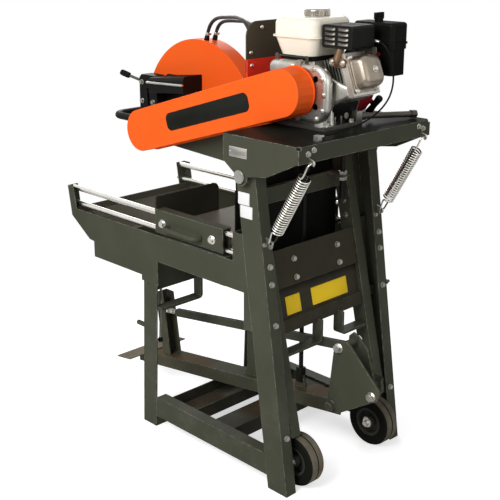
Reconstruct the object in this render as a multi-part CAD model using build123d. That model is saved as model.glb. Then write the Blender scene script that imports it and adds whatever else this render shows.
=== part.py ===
"""Masonry bench saw: one STEP file per sub-part, in millimetres, +Z up.

X is the width (the belt guard is on the +X side), -Y is the operator's end and +Y the engine's end.
Every Y below is measured from the drawing's datum; the parts are moved by CENTRE_Y when written,
so that the finished box stands centred on the origin.
"""
import math
import os

from build123d import *

# Whole machine
CENTRE_Y = 117.4          # moves the datum to the middle of the box
GAP = 0.3                 # room between pieces of different bodies
RUN = 0.05                # radial clearance of a shaft in its hole

# Sheet and sections of the stand
SHEET = 3.0               # folded sheet: panels, tray, guards
PLATE = 4.0               # folded legs and beams
HALF_W = 265.0            # outer face of the rear legs and side panels
WALL_X = HALF_W - SHEET   # inner face of the side panels
FRONT_WEB = 65.0          # front leg angle, along Y
FRONT_FLANGE = 55.0       # front leg angle, along X
FRONT_FOOT_Y = -235.0     # rear edge of the front legs on the floor
RAKE_FRONT = 0.045        # front legs lean back going up
LEG_DEPTH = 76.0          # rear leg channel, along Y
LEG_FLANGE = 40.0         # rear leg channel, along X
REAR_FOOT_Y = 365.0       # rear face of the rear legs on the floor
RAKE_REAR = 0.143         # rear legs lean forward going up
LEG_TOP_Z = 955.0
UPRIGHT_INSET = 85.0      # from the legs' outer face to the inner face of the uprights beside them
UPRIGHT_W = 37.0
UPRIGHT_X0 = HALF_W - UPRIGHT_INSET
UPRIGHT_X1 = UPRIGHT_X0 + UPRIGHT_W
UPRIGHT_DEPTH = 50.0
UPRIGHT_Z0 = 165.0
UPRIGHT_Z1 = 928.0
UPRIGHT_LINE_Y = 375.7    # rear face of the uprights, carried down to the floor
RAKE_UPRIGHT = 0.2243     # uprights lean forward more than the legs
BEAM_LOW_Z = 39.0         # side beams between the feet
BEAM_TOP_Z = 107.0
FRONT_MEMBER_Y = (-225.0, -99.0)
FRONT_MEMBER_Z = (BEAM_LOW_Z + 5, 88.0)   # top clear of the lowered pedal beam
REAR_MEMBER_Y = (6.0, 90.0)
REAR_MEMBER_Z = (52.0, 100.0)
FOOT_TAB = (43.0, 39.0)   # width and height of the tab folded in at each front foot
PEG_R = 8.0               # round peg on the front leg's flange
PEG_INSET = 20.0
PEG_X = HALF_W - PEG_INSET
PEG_Z = 341.0
PEG_REACH = 53.0
STRAP_T = 8.0             # bent flat bars under the tray and the rear panel
STRAP_BEND = 14.0
STRAP_W = 36.0
FRONT_STRAP = (84.0, 424.0)        # x of its turn, height of its level run
NEAR_STRAP = (27.0, 248.0, 66.0)   # x of its turn, front edge, drop under the rear panel
FAR_STRAP = (-60.0, 250.0, 68.0)
LEG_BOLT_INSET = 22.0
LEG_BOLT_X = HALF_W - LEG_BOLT_INSET
LEG_BOLT_Z = (682.0, 631.0, 512.0, 175.0)
WEB_BOLT_Z = (777.0, 733.0, 678.0)

# Tray, rails and side panels
TRAY_Z = 587.0            # underside of the tray floor
TRAY_TOP_Z = 676.0
TRAY_WALL_Z = 700.0       # top of the tray's rear wall
TRAY_REAR_Y = 105.0
TRAY_FRONT_Y = -652.0
TRAY_LIP_Z = 650.0        # head of the tray's sloped front
TRAY_SLOPE_Y = -560.0     # foot of the tray's sloped front
SUMP_Z = 530.0
SUMP_Y = (-536.0, -288.0)
RAIL_R = 9.0
RAIL_INSET = 23.0         # from the side panel's outer face to the rails' middle
RAIL_X = HALF_W - RAIL_INSET
RAIL_LOW_Z = 690.0
RAIL_TOP_Z = 742.0
UPSTAND_FRONT_Y = -679.0
UPSTAND_FRONT_Z = 751.0
UPSTAND_REAR_Y = 141.0
UPSTAND_REAR_Z = 763.0
NOSE = (-661.0, 648.0)    # (y, z) where the side panel's front edge starts to run back
CHIN = (-564.0, 583.0)
SKIRT_Z = 526.0           # lower edge of the side panels beside the sump
SKIRT_LEG_Z = 508.0       # lower edge over the front legs
SKIRT_LEG_Y = (-284.0, -203.0)
TAB_Y = 186.0             # tab of the side panel down the rear leg's front edge
TAB_Z = 478.0
CURTAIN_INSET = 43.0
CURTAIN_HALF = HALF_W - CURTAIN_INSET
CURTAIN_Z = (604.0, 870.0)
CURTAIN_T = 4.0
FRONT_PLATE_Y = (-232.0, -228.0)
FRONT_PLATE_Z = 483.0
JOINERS = ((218.0, 18.0), (485.0, 15.0), (690.0, 30.0))    # middle height and half height
LINTEL_Z = (826.0, 874.0)
PANEL_LEVELS = ((700, 4), (590, 4), (586, 16), (500, 16), (496, 6), (460, 6))   # height, depth of each fold
PANEL_BOLT_X = 97.0
PANEL_BOLT_Z = (663.0, 609.0)

# Cart
CART_Y0 = -216.0
CART_Y1 = 91.0
TABLE_Z = 704.0
CART_SKIRT_Z = 662.0      # lower edge of the cart's inner walls
CART_OUTSIDE = 12.0       # from the rails' middle to the cart's outer side plates
CART_PLATE_X = RAIL_X + CART_OUTSIDE
CART_TUNNEL = 30.0        # room for the rails between the cart's inner and outer walls
CART_HOOD_Z = RAIL_TOP_Z + 16
FENCE_T = 6.0
FENCE_TOP_Z = 798.0
FENCE_END_X = -8.0
FENCE_ROUND = 22.0
ROLLER_Y = (-180.0, 46.0)
GRIP_Y = (-150.0, -4.0)
GRIP_Z = 710.5
GRIP_REACH = 26.0
GRIP_R = 8.0
GRIP_BEND = 17.0

# Head hinge
PIVOT_Y = 193.0
PIVOT_Z = 937.0
PIN_R = 12.5

# Deck
DECK_OUTSIDE = 20.0             # from the legs' outer face to the deck's
DECK_HALF = HALF_W + DECK_OUTSIDE
DECK_Y0 = 125.0
DECK_Y1 = 408.0
DECK_Z = 1050.0
DECK_FLANGE_Z = 1003.0          # lower edge of the rear flange
FOOT_Z = DECK_Z - 2 * PLATE     # underside of the shield's foot, below the deck plate

# Head stop
STOP_X = -132.0
STOP_Y = 208.7
STOP_R = 8.0
STOP_LOW_Z = 800.0
STOP_SHELF = (22.0, 15.0)       # half width, and reach behind the rod

# Latch rod by the near front leg
LATCH_INSET = 50.0
LATCH_X = HALF_W - LATCH_INSET
LATCH_TOP = (-248.0, 500.0)
LATCH_LOW = (-259.0, 300.0)
LATCH_R = 4.0
LATCH_BALL_R = 9.0

# Blade end
ARBOR_Y = -398.0
ARBOR_Z = 966.0
ARBOR_R = 15.0
GUARD_R = 273.0
GUARD_X0 = -149.0
GUARD_X1 = -89.0
GUARD_CUT_Z = 921.0
ARM_X0 = 25.0
ARM_X1 = 95.0
ARM_NOSE_Y = -456.0
ARM_WALL = 5.0
HOUSING_R = 36.0
BLOCK_Y = (-655.0, -562.0)      # clamp block on the guard's near face
BLOCK_Z = (986.0, 1104.0)
BLOCK_DEPTH = 46.0
CLAMP_Z = 1072.0
CLAMP_PIN_R = 6.0
CHANNEL_DEPTH = 86.0            # folded channel behind the clamp block
CHANNEL_TOP = ((-556.0, 1104.0), (-376.0, 1124.0))
CHANNEL_LOW = ((-376.0, 1069.0), (-556.0, 1052.0))
HANDLE_X = 44.0
HANDLE_FAR_X = -188.0
HANDLE_Y = -700.0
HANDLE_R = 12.0
HANDLE_BEND = 48.0

# Belt drive
CRANK_Y = 226.0
CRANK_Z = 1156.0
CRANK_R = 10.0
BELT_GUARD_R = 67.0
BELT_GUARD_FACETS = 10          # straight facets round each end of the guard's wall
BELT_X0 = 103.0
BELT_X1 = 165.0
ARBOR_GROOVE_R = 46.0
CRANK_GROOVE_R = 40.0
RIM = 7.0                       # height of a pulley's rim above its groove
BELT_T = 8.0
PULLEY_X0 = 116.0
PULLEY_X1 = 146.0

# Splash shield
SHIELD_X0 = -190.0
SHIELD_Y = 24.0
SHIELD_TOP_Z = 1224.0
SHIELD_FOOT_Y = 300.0
FLAP_Z = (1186.0, 1332.0)
FLAP_ROUND = 44.0

# Pedal lever
LEVER_B = (336.0, 209.0)      # fulcrum of the lever, (y, z)
LEVER_T = (358.0, 404.0)      # top bolt of the twin plates
LEVER_R = (485.0, 290.0)      # rear bolt of the near plate
BEAM_FRONT = (-606.0, 69.1)   # two points of the pedal beam's middle line
BEAM_REAR = (338.0, 203.0)
BEAM_END = 28.0               # the beam runs on behind its rear point
BEAM_H = 44.0
BEAM_HALF_W = 35.0
TWIN_T = 6.0
FULCRUM_R = 10.0
LEVER_BOLT_R = 6.0
POST_FOOT_Y = -457.0          # post near the beam's front end
POST_HEAD = (-493.0, 341.0)
POST_HALF = 20.0              # half depth
POST_HALF_W = 26.0
LINK_X = (10.0, 22.0)
LINK_FRONT = (-413.0, 290.0)
LINK_HALF_H = 14.0
LINK_TIP_HALF = 5.0
STUD_R = 5.0
STUD_NUTS = (-46.0, -22.0)    # along the tie bar's line, from its front end
FIN_Y = (-59.0, 60.0)         # web plate between the beam and the tie bar
FIN_X = (4.0, 10.0)
FIN_FLARE = 14.0
TREAD_Y = (-614.0, -539.0)
TREAD_HALF = 132.0
ROD_Y = 173.0                 # pull rod, ahead of the head hinge
ROD_LOW_Z = 232.0
ROD_R = 7.0
ROD_PIN_R = 5.0
ROD_PLAY = 1.6
ROD_LUG_HALF = 4.0
FORK_T = 6.0
FORK_HALF = 11.0

# Wheels
WHEEL_R = 78.0
WHEEL_Y = 330.0
WHEEL_Z = 80.0
WHEEL_INSET = 62.0            # from the legs' outer face to the wheel's
WHEEL_W = 56.0
WHEEL_X1 = HALF_W - WHEEL_INSET
WHEEL_X0 = WHEEL_X1 - WHEEL_W
AXLE_R = 8.0
HUB_R = 46.0
HUB_BOSS_R = 18.0
HUB_RIM = 8.0
HUB_WEB = 8.0                 # half thickness of the hub's disc

# Return springs
SPRING_INSET = 20.0           # from the legs' outer face to the spring's axis
SPRING_X = HALF_W - SPRING_INSET
SPRING_TOP = (419.0, 1004.0)  # (y, z) of the upper hook's wire
SPRING_LOW = (273.0, 752.0)
SPRING_R = 15.0               # middle of the wire
SPRING_WIRE_R = 2.5
SPRING_TURNS = 32
HOOK_R = 12.0
COIL_START = 30.0             # along the spring, from each hook

# Engine
BLOCK_X0 = -75.0
BLOCK_X1 = 80.0
BLOCK_FRONT_Y = 104.0
BLOCK_RISE = 80.0             # from the crank to the top of its case
BLOCK_TOP_Z = CRANK_Z + BLOCK_RISE
ENGINE_FOOT_Y = (110.0, 320.0)
ENGINE_FOOT_H = 12.0
CYL_LEAN = 20.0               # degrees above level, toward the rear
CYL_X = -8.0
CYL_R = 44.0
HEAD_HALF = 60.0              # cylinder head and fins, square to the cylinder's axis
FIN_HALF_X = 56.0
FIN_COUNT = 6
FIN_PITCH = 10.0
FIN_START = 78.0              # along the cylinder, from the crank
HEAD_START = 134.0
HEAD_END = 154.0
COVER_END = 200.0
SHROUD_OVER = 12.0            # the shroud's rim stands this far above the case
SHROUD_R = BLOCK_RISE + SHROUD_OVER
SHROUD_DEPTH = 92.0
SHROUD_SLOTS = 10
RECOIL_X = -156.0
RECOIL_R = 96.0
RECOIL_TURN = -40.0
TANK_X = (-90.0, 80.0)
TANK_Y = (108.0, 268.0)
TANK_LOWER_H = 64.0
TANK_UPPER_H = 52.0
TANK_DRAW = 20.0              # the lower half draws in on every side
TANK_WALL = 2.5
SEAM_Z = BLOCK_TOP_Z + TANK_LOWER_H
TANK_TOP_Z = SEAM_Z + TANK_UPPER_H
CAP_R = 37.0
CAP_H = 20.0
CAP_X = -24.0
CAP_Y = 188.0
NECK_R = CAP_R - 7
NECK_H = 8.0
MUFFLER_X = (-42.0, 52.0)
MUFFLER_Y = (274.0, 380.0)
MUFFLER_Z = (1276.0, 1338.0)
CLEANER_X = (-146.0, -76.0)
CLEANER_Y = (274.0, 418.0)
CLEANER_Z = (1268.0, 1340.0)
CLEANER_DROP = 72.0           # the rear half hangs down beside the cylinder head
CLEANER_DROP_Y = 346.0
KNOB_R = 12.0
OIL_START = (306.0, 1074.0)   # (y, z) where the oil pipe leaves the crankcase
OIL_END = (-250.0, 362.0, 1064.0)
OIL_R = 9.0

# Cords: route points (x, y, z), every corner rounded
HOSE_R = 6.0
HOSE_1 = [
    (-104, -364, 1250), (-104, -358, 1272), (-102, -342, 1294), (-96, -314, 1310),
    (-82, -272, 1318), (-58, -214, 1323), (-30, -158, 1328), (-2, -106, 1331),
    (22, -66, 1329), (34, -36, 1316), (40, -14, 1290), (42, 0, 1254),
    (42, 7, 1212), (42, 8, 1170), (42, 8, 1130),
]
HOSE_2 = [
    (-134, -356, 1250), (-134, -350, 1270), (-131, -334, 1288), (-124, -308, 1300),
    (-110, -266, 1306), (-88, -206, 1310), (-60, -150, 1314), (-32, -98, 1317),
    (-6, -58, 1314), (6, -32, 1300), (14, -12, 1272), (18, 0, 1236),
    (18, 7, 1197), (18, 8, 1162), (18, 8, 1130),
]
MANIFOLD_X = (6.0, 54.0)      # block on the shield that both hoses run down to
MANIFOLD_Z = (1096.0, 1116.0)
MANIFOLD_T = 30.0
CABLE_R = 2.5
CABLE = [
    (-52, 376, 1292), (-52, 398, 1290), (-53, 418, 1274), (-57, 430, 1244),
    (-62, 436, 1206), (-63, 434, 1168), (-52, 428, 1134), (-24, 420, 1106),
    (16, 410, 1084), (68, 398, 1070), (124, 388, 1062), (180, 386, 1060),
]


def rear_y(z):
    """Y of the raked rear plane of the rear legs at height z."""
    return REAR_FOOT_Y - RAKE_REAR * z


def upright_y(z):
    """Y of the raked rear plane of the inner uprights at height z."""
    return UPRIGHT_LINE_Y - RAKE_UPRIGHT * z


def front_y(z):
    """Y of the rear edge of the front legs at height z."""
    return FRONT_FOOT_Y + RAKE_FRONT * z


def inset(ends, by):
    """Two ends drawn in by the same amount."""
    return ends[0] + by, ends[1] - by


def around(middle, half):
    """Two ends at the same distance from a middle."""
    return middle - half, middle + half


def box(x, y, z):
    """Block between the two ends given for each axis."""
    ends = [sorted(pair_) for pair_ in (x, y, z)]
    return Pos(*[(a + b) / 2 for a, b in ends]) * Box(*[b - a for a, b in ends])


def level(x, y):
    """Level rectangle between two ends along X and two along Y."""
    return Pos(sum(x) / 2, sum(y) / 2) * Rectangle(x[1] - x[0], y[1] - y[0])


def rod(start, end, radius):
    """Cylinder between two points."""
    axis = Vector(*end) - Vector(*start)
    return Solid.make_cylinder(radius, axis.length, Plane(Vector(*start), z_dir=axis))


def rod_x(x, y, z, radius):
    """Cylinder along X between the two values of x."""
    return rod((x[0], y, z), (x[1], y, z), radius)


def outline(points):
    """Flat face through (y, z) points, in the plane X = 0."""
    return make_face(Polyline([(0, y, z) for y, z in points], close=True))


def slab(face, x):
    """A face of the plane X = 0, drawn out along X."""
    return extrude(Pos(x[0], 0, 0) * face, amount=x[1] - x[0], dir=(1, 0, 0))


def strip(points, thickness):
    """Outline of folded sheet: a (y, z) line and its copy moved sideways to the left, corners mitred."""
    normals = []
    for (y0, z0), (y1, z1) in zip(points, points[1:]):
        run = math.hypot(y1 - y0, z1 - z0)
        normals.append((-(z1 - z0) / run, (y1 - y0) / run))
    pairs = list(zip([normals[0]] + normals, normals + [normals[-1]]))
    moved = []
    for (y, z), ((ay, az), (by, bz)) in zip(points, pairs):
        stretch = thickness / (1 + ay * by + az * bz)
        moved.append((y + (ay + by) * stretch, z + (az + bz) * stretch))
    return outline(points + moved[::-1])


def turned(profile, centre):
    """Solid turned about the X axis from (radius, x) points, placed at a centre."""
    face = make_face(Polyline([(x, r, 0) for r, x in profile], close=True))
    return Pos(*centre) * revolve(face, Axis.X)


def mirrored(shape):
    """The shape's twin on the other side of the machine."""
    return mirror(shape, about=Plane.YZ)


def pair(shape):
    """A shape and its twin, as two separate solids."""
    return [shape, mirrored(shape)]


def leaning(section, height, rake):
    """A level section drawn upward along a leaning line."""
    length = height * math.hypot(1, rake)
    return extrude(section, amount=length, dir=(0, rake, 1))


def bolt(point, direction, across=13.0, washer=9.0, height=6.0):
    """Hexagon bolt head on its washer, seated at a point."""
    seat = Plane(Vector(*point), z_dir=Vector(*direction))
    washer_t = 1.6
    disc = seat * Pos(0, 0, washer_t / 2) * Cylinder(washer, washer_t)
    hexagon = RegularPolygon(across / 2, 6, major_radius=False)
    head = seat * Pos(0, 0, washer_t) * extrude(hexagon, amount=height)
    return Solid(disc.fuse(head).solid().wrapped)


def nut(point, direction, across, height, bore):
    """Hexagon nut with a plain bore, seated at a point."""
    seat = Plane(Vector(*point), z_dir=Vector(*direction))
    hexagon = RegularPolygon(across / 2, 6, major_radius=False) - Circle(bore)
    return seat * extrude(hexagon, amount=height)


def tube(points, radius):
    """Round tube along a route with every corner rounded; prints its bend radii and volume check."""
    corners = [Vector(*p) for p in points]
    radii = []
    for a, b, c in zip(corners, corners[1:], corners[2:]):
        half = math.radians((b - a).get_angle(c - b)) / 2
        radii.append(0.45 * min((b - a).length, (c - b).length) / math.tan(half))
    path = FilletPolyline(*corners, radius=radii)
    body = sweep(Plane(path @ 0, z_dir=path % 0) * Circle(radius), path=path)
    ratio = body.volume / (math.pi * radius**2 * path.length)
    print(f"tube length {path.length:.0f}, bend radii {min(radii):.0f} to {max(radii):.0f}, "
          f"volume ratio {ratio:.4f}")
    return body


def front_legs():
    """Two folded angles under the tray, each with a tab at its foot and a round peg on its flange."""
    x1, y1 = WALL_X, FRONT_FOOT_Y
    y0 = y1 - FRONT_WEB
    section = level((x1 - PLATE, x1), (y0, y1)) + level((x1 - FRONT_FLANGE, x1), (y0, y0 + PLATE))
    leg = leaning(section, TRAY_Z, RAKE_FRONT)
    width, height = FOOT_TAB
    leg += leaning(level((x1 - PLATE - width, x1 - PLATE), (y1 - PLATE, y1)), height, RAKE_FRONT)
    flange_y = front_y(PEG_Z) - FRONT_WEB
    peg = rod((PEG_X, flange_y + PLATE / 2, PEG_Z), (PEG_X, flange_y - PEG_REACH, PEG_Z), PEG_R)
    leg += fillet(peg.edges().sort_by(Axis.Y)[0], PEG_R / 2)
    return pair(leg)


def channel_section(x0, x1, y0, y1):
    """Level channel section with its web at x1 and its open side toward x0."""
    return level((x0, x1), (y0, y1)) - level((x0, x1 - PLATE), (y0 + PLATE, y1 - PLATE))


def rear_legs():
    """Two raked channels with the hinge pin's hole at the top."""
    section = channel_section(HALF_W - LEG_FLANGE, HALF_W, REAR_FOOT_Y - LEG_DEPTH, REAR_FOOT_Y)
    leg = leaning(section, LEG_TOP_Z, -RAKE_REAR)
    leg -= rod_x((HALF_W - 2 * PLATE, HALF_W + PLATE), PIVOT_Y, PIVOT_Z, PIN_R)
    return pair(leg)


def rear_uprights():
    """Two channels inboard of the rear legs, open outward, from above the wheels to the hinge."""
    y1 = upright_y(UPRIGHT_Z0)
    section = mirrored(channel_section(-UPRIGHT_X1, -UPRIGHT_X0, y1 - UPRIGHT_DEPTH, y1))
    return pair(leaning(Pos(0, 0, UPRIGHT_Z0) * section, UPRIGHT_Z1 - UPRIGHT_Z0, -RAKE_UPRIGHT))


def leg_volumes():
    """Solid envelopes of one side's legs, to trim the side beam's ends to their lean."""
    front = level((WALL_X - FRONT_FLANGE, WALL_X), (FRONT_FOOT_Y - FRONT_WEB, FRONT_FOOT_Y))
    rear = level((UPRIGHT_X0, HALF_W), (REAR_FOOT_Y - LEG_DEPTH, REAR_FOOT_Y))
    height = 1.2 * BEAM_TOP_Z
    return leaning(front, height, RAKE_FRONT), leaning(rear, height, -RAKE_REAR)


def base_beams():
    """Two side channels between the feet, open inboard."""
    x0 = WALL_X - LEG_FLANGE
    ends = (FRONT_FOOT_Y - FRONT_WEB / 2, REAR_FOOT_Y - LEG_DEPTH / 2)
    beam = box((x0, WALL_X), ends, (BEAM_LOW_Z, BEAM_TOP_Z))
    beam -= box((x0, WALL_X - PLATE), ends, (BEAM_LOW_Z + PLATE, BEAM_TOP_Z - PLATE))
    for leg in leg_volumes():
        beam -= leg
    return pair(beam)


def floor_members():
    """Two wide channels across the base: the front one open above, the rear one open below."""
    x = (PLATE - WALL_X, WALL_X - PLATE)
    y, z = FRONT_MEMBER_Y, FRONT_MEMBER_Z
    front = box(x, y, z) - box(x, inset(y, PLATE), (z[0] + PLATE, z[1]))
    y, z = REAR_MEMBER_Y, REAR_MEMBER_Z
    rear = box(x, y, z) - box(x, inset(y, PLATE), (z[0], z[1] - PLATE))
    return [front, rear]


def rail_points():
    """(x, z) of the four rails."""
    return [(side * RAIL_X, z) for side in (-1, 1) for z in (RAIL_LOW_Z, RAIL_TOP_Z)]


def side_panel():
    """Near side panel: stepped sheet with a folded upstand for the rails at each end."""
    brow = 32.0
    step = 13.0
    sump_y = SUMP_Y[0] - SHEET
    shape = [
        (UPSTAND_FRONT_Y, UPSTAND_FRONT_Z), NOSE, CHIN, (sump_y, CHIN[1] - SHEET), (sump_y, SKIRT_Z),
        (SKIRT_LEG_Y[0], SKIRT_Z), (SKIRT_LEG_Y[0], SKIRT_LEG_Z), (SKIRT_LEG_Y[1], SKIRT_LEG_Z),
        (SKIRT_LEG_Y[1], TRAY_Z + SHEET), (TAB_Y, TRAY_Z + SHEET), (TAB_Y, TAB_Z),
        (rear_y(TAB_Z) - LEG_DEPTH, TAB_Z), (rear_y(UPSTAND_REAR_Z) - LEG_DEPTH, UPSTAND_REAR_Z),
        (UPSTAND_REAR_Y, UPSTAND_REAR_Z), (UPSTAND_REAR_Y, TRAY_TOP_Z),
        (UPSTAND_FRONT_Y + brow + step, TRAY_TOP_Z), (UPSTAND_FRONT_Y + brow, UPSTAND_FRONT_Z),
    ]
    panel = slab(outline(shape), (WALL_X, HALF_W))
    inner = (HALF_W - LEG_FLANGE, WALL_X)
    panel += slab(strip([NOSE, (UPSTAND_FRONT_Y, UPSTAND_FRONT_Z)], -SHEET), inner)
    panel += box(inner, (UPSTAND_REAR_Y, UPSTAND_REAR_Y + SHEET), (TRAY_TOP_Z, UPSTAND_REAR_Z))
    for x, z in rail_points():
        panel -= rod((x, UPSTAND_FRONT_Y - SHEET, z), (x, UPSTAND_REAR_Y + 2 * SHEET, z), RAIL_R)
    return panel


def rail_ends():
    """Y of the rails' two ends, just outside the upstands."""
    return UPSTAND_FRONT_Y - 2, UPSTAND_REAR_Y + 2 * SHEET


def guide_rails():
    """Four round rails between the upstands."""
    y = rail_ends()
    return [rod((x, y[0], z), (x, y[1], z), RAIL_R) for x, z in rail_points()]


def water_tray():
    """Folded pan between the side panels, with a sloped front, a sump and a rear wall."""
    fold = [
        (TRAY_FRONT_Y, TRAY_TOP_Z), (TRAY_FRONT_Y, TRAY_LIP_Z), (TRAY_SLOPE_Y, TRAY_Z), (SUMP_Y[0], TRAY_Z),
        (SUMP_Y[0], SUMP_Z), (SUMP_Y[1], SUMP_Z), (SUMP_Y[1], TRAY_Z), (TRAY_REAR_Y, TRAY_Z),
        (TRAY_REAR_Y, TRAY_WALL_Z),
    ]
    tray = slab(strip(fold, SHEET), (-WALL_X, WALL_X))
    notch_z = (TRAY_TOP_Z, TRAY_WALL_Z + SHEET)
    notch = box((HALF_W - LEG_FLANGE, HALF_W), around(TRAY_REAR_Y, 3 * SHEET), notch_z)
    return tray - notch - mirrored(notch)


def lintel_y():
    """Front and rear face of the lintel, inside both uprights over its whole height."""
    return upright_y(LINTEL_Z[0]) - UPRIGHT_DEPTH + PLATE, upright_y(LINTEL_Z[1]) - 4 * PLATE


def lintel():
    """Inverted channel between the uprights, with the head stop's shelf behind it."""
    x, y = (-UPRIGHT_X0, UPRIGHT_X0), lintel_y()
    body = box(x, y, LINTEL_Z) - box(x, inset(y, PLATE), (LINTEL_Z[0], LINTEL_Z[1] - PLATE))
    half, reach = STOP_SHELF
    body += box(around(STOP_X, half), (y[1] - PLATE, STOP_Y + reach), (LINTEL_Z[1] - PLATE, LINTEL_Z[1]))
    return body - rod((STOP_X, STOP_Y, LINTEL_Z[0]), (STOP_X, STOP_Y, LINTEL_Z[1] + PLATE), STOP_R)


def cross_plates():
    """Front plate under the tray, the lintel, and the plates that join each upright to its leg."""
    inner = WALL_X - PLATE
    plates = [box((-inner, inner), FRONT_PLATE_Y, (FRONT_PLATE_Z, TRAY_Z)), lintel()]
    for middle, half in JOINERS:
        y = upright_y(middle) - 5 * PLATE
        plates += pair(box((UPRIGHT_X0 + PLATE, HALF_W - PLATE), (y, y + PLATE), around(middle, half)))
    return plates


def stop_rod():
    """Black rod on the lintel's shelf that carries the raised head, and the latch's ball grip."""
    top = FOOT_Z - GAP
    buffer_h = 12.0
    body = rod((STOP_X, STOP_Y, STOP_LOW_Z), (STOP_X, STOP_Y, top - buffer_h), STOP_R)
    body += rod((STOP_X, STOP_Y, top - buffer_h), (STOP_X, STOP_Y, top), 15)
    y, z = LATCH_LOW
    ball = Pos(LATCH_X, y, z - LATCH_BALL_R + 1) * Sphere(LATCH_BALL_R) - latch_rod()
    return [body, ball]


def latch_rod():
    """Drop rod of the tray's latch on a pin from the front plate."""
    (y0, z0), (y1, z1) = LATCH_TOP, LATCH_LOW
    pin = rod((LATCH_X, FRONT_PLATE_Y[0], z0), (LATCH_X, y0 - LATCH_R, z0), LATCH_R)
    return pin + rod((LATCH_X, y0, z0), (LATCH_X, y1, z1), LATCH_R)


def rear_panel():
    """Folded sheet between the uprights, with a sunk middle band and a lower lip."""
    fold = [(upright_y(z) - depth, z) for z, depth in PANEL_LEVELS]
    return slab(strip(fold, -SHEET), (-UPRIGHT_X0, UPRIGHT_X0))


def splash_curtain():
    """Rubber sheet behind the tray, clamped to its rear wall."""
    return box((-CURTAIN_HALF, CURTAIN_HALF), (TRAY_REAR_Y, TRAY_REAR_Y + CURTAIN_T), CURTAIN_Z)


def hanger(x_wall, x_turn, y, z, top):
    """Flat bar that runs level from a leg and turns up with a rounded outer corner."""
    side = 1 if x_wall > x_turn else -1
    bar = box((x_wall, x_turn), y, (z, z + STRAP_T))
    bar += box((x_turn, x_turn + side * STRAP_T), y, (z, top))
    edges = bar.edges().filter_by(Axis.Y)
    corner = edges.sort_by(lambda e: abs(e.center().X - x_turn) + abs(e.center().Z - z))[0]
    return fillet(corner, STRAP_BEND)


def hanger_straps():
    """Three bent flat bars under the tray and the rear panel."""
    y, (turn_x, level_z) = FRONT_PLATE_Y[1], FRONT_STRAP
    straps = [hanger(WALL_X - PLATE, turn_x, (y, y + STRAP_W), level_z, TRAY_Z)]
    low = PANEL_LEVELS[-1][0]
    for wall_x, (turn_x, y, drop) in ((UPRIGHT_X0, NEAR_STRAP), (-UPRIGHT_X0, FAR_STRAP)):
        straps.append(hanger(wall_x, turn_x, (y, y + STRAP_W), low - drop, low + STRAP_T) - rear_panel())
    return straps


def pivot_pins():
    """Two stub pins of the head hinge, each with a collar beside the leg and a round cap."""
    collar, cap = 1.5 * PIN_R, 7.0
    pin = rod_x((HALF_W - LEG_FLANGE + 6, DECK_HALF + cap), PIVOT_Y, PIVOT_Z, PIN_R)
    pin += rod_x((HALF_W, DECK_HALF - PLATE - GAP), PIVOT_Y, PIVOT_Z, collar)
    pin += rod_x((DECK_HALF + GAP, DECK_HALF + cap), PIVOT_Y, PIVOT_Z, collar)
    return pair(pin)


def wheel_axles():
    """Two stub axles from the rear legs, each with collar, outer washer and spring clip."""
    clip_x, clip_r, clip_wire = WHEEL_X0 - 9, 7.0, 1.6
    axle = rod_x((WHEEL_X0 - 2 * AXLE_R, HALF_W - PLATE), WHEEL_Y, WHEEL_Z, AXLE_R)
    axle += rod_x((WHEEL_X1 + GAP, WHEEL_X1 + 6), WHEEL_Y, WHEEL_Z, AXLE_R + 6)
    axle += rod_x((WHEEL_X0 - 4, WHEEL_X0 - GAP), WHEEL_Y, WHEEL_Z, 2 * AXLE_R)
    axle += Pos(clip_x, WHEEL_Y, WHEEL_Z + AXLE_R + clip_r - 1) * Rot(0, 90, 0) * Torus(clip_r, clip_wire)
    low, high = around(WHEEL_Z, AXLE_R + 6)
    axle += rod((clip_x, WHEEL_Y, low), (clip_x, WHEEL_Y, high - clip_r), clip_wire)
    return pair(axle)


def wheel():
    """Near wheel's hub: a dished disc with a rim, turning on its axle."""
    half = (WHEEL_X1 - WHEEL_X0) / 2
    bore, boss, rim = AXLE_R + RUN, HUB_BOSS_R, HUB_R - HUB_RIM
    edge = half - 4
    profile = [
        (bore, -half), (boss, -half), (boss, -HUB_WEB), (rim, -HUB_WEB), (rim, -edge), (HUB_R, -edge),
        (HUB_R, edge), (rim, edge), (rim, HUB_WEB), (boss, HUB_WEB), (boss, half), (bore, half),
    ]
    return turned(profile, (WHEEL_X0 + half, WHEEL_Y, WHEEL_Z))


def tyre():
    """Near wheel's solid tyre, crowned and grooved."""
    half = (WHEEL_X1 - WHEEL_X0) / 2
    r, groove = WHEEL_R, 3.0
    profile = [
        (HUB_R, 2 - half), (r - 9, -half), (r - 2, 4 - half), (r, 8 - half), (r, -2), (r - groove, -1),
        (r - groove, 1), (r, 2), (r, half - 8), (r - 2, half - 4), (r - 9, half), (HUB_R, half - 2),
    ]
    return turned(profile, (WHEEL_X0 + half, WHEEL_Y, WHEEL_Z))


def beam_line(y):
    """Z of the pedal beam's middle line at y."""
    slope = (BEAM_REAR[1] - BEAM_FRONT[1]) / (BEAM_REAR[0] - BEAM_FRONT[0])
    return BEAM_FRONT[1] + slope * (y - BEAM_FRONT[0])


def beam_band(y, low, high):
    """Outline between two y, from one height above the beam's middle line to another."""
    return outline([(y[0], beam_line(y[0]) + low), (y[1], beam_line(y[1]) + low),
                    (y[1], beam_line(y[1]) + high), (y[0], beam_line(y[0]) + high)])


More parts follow.
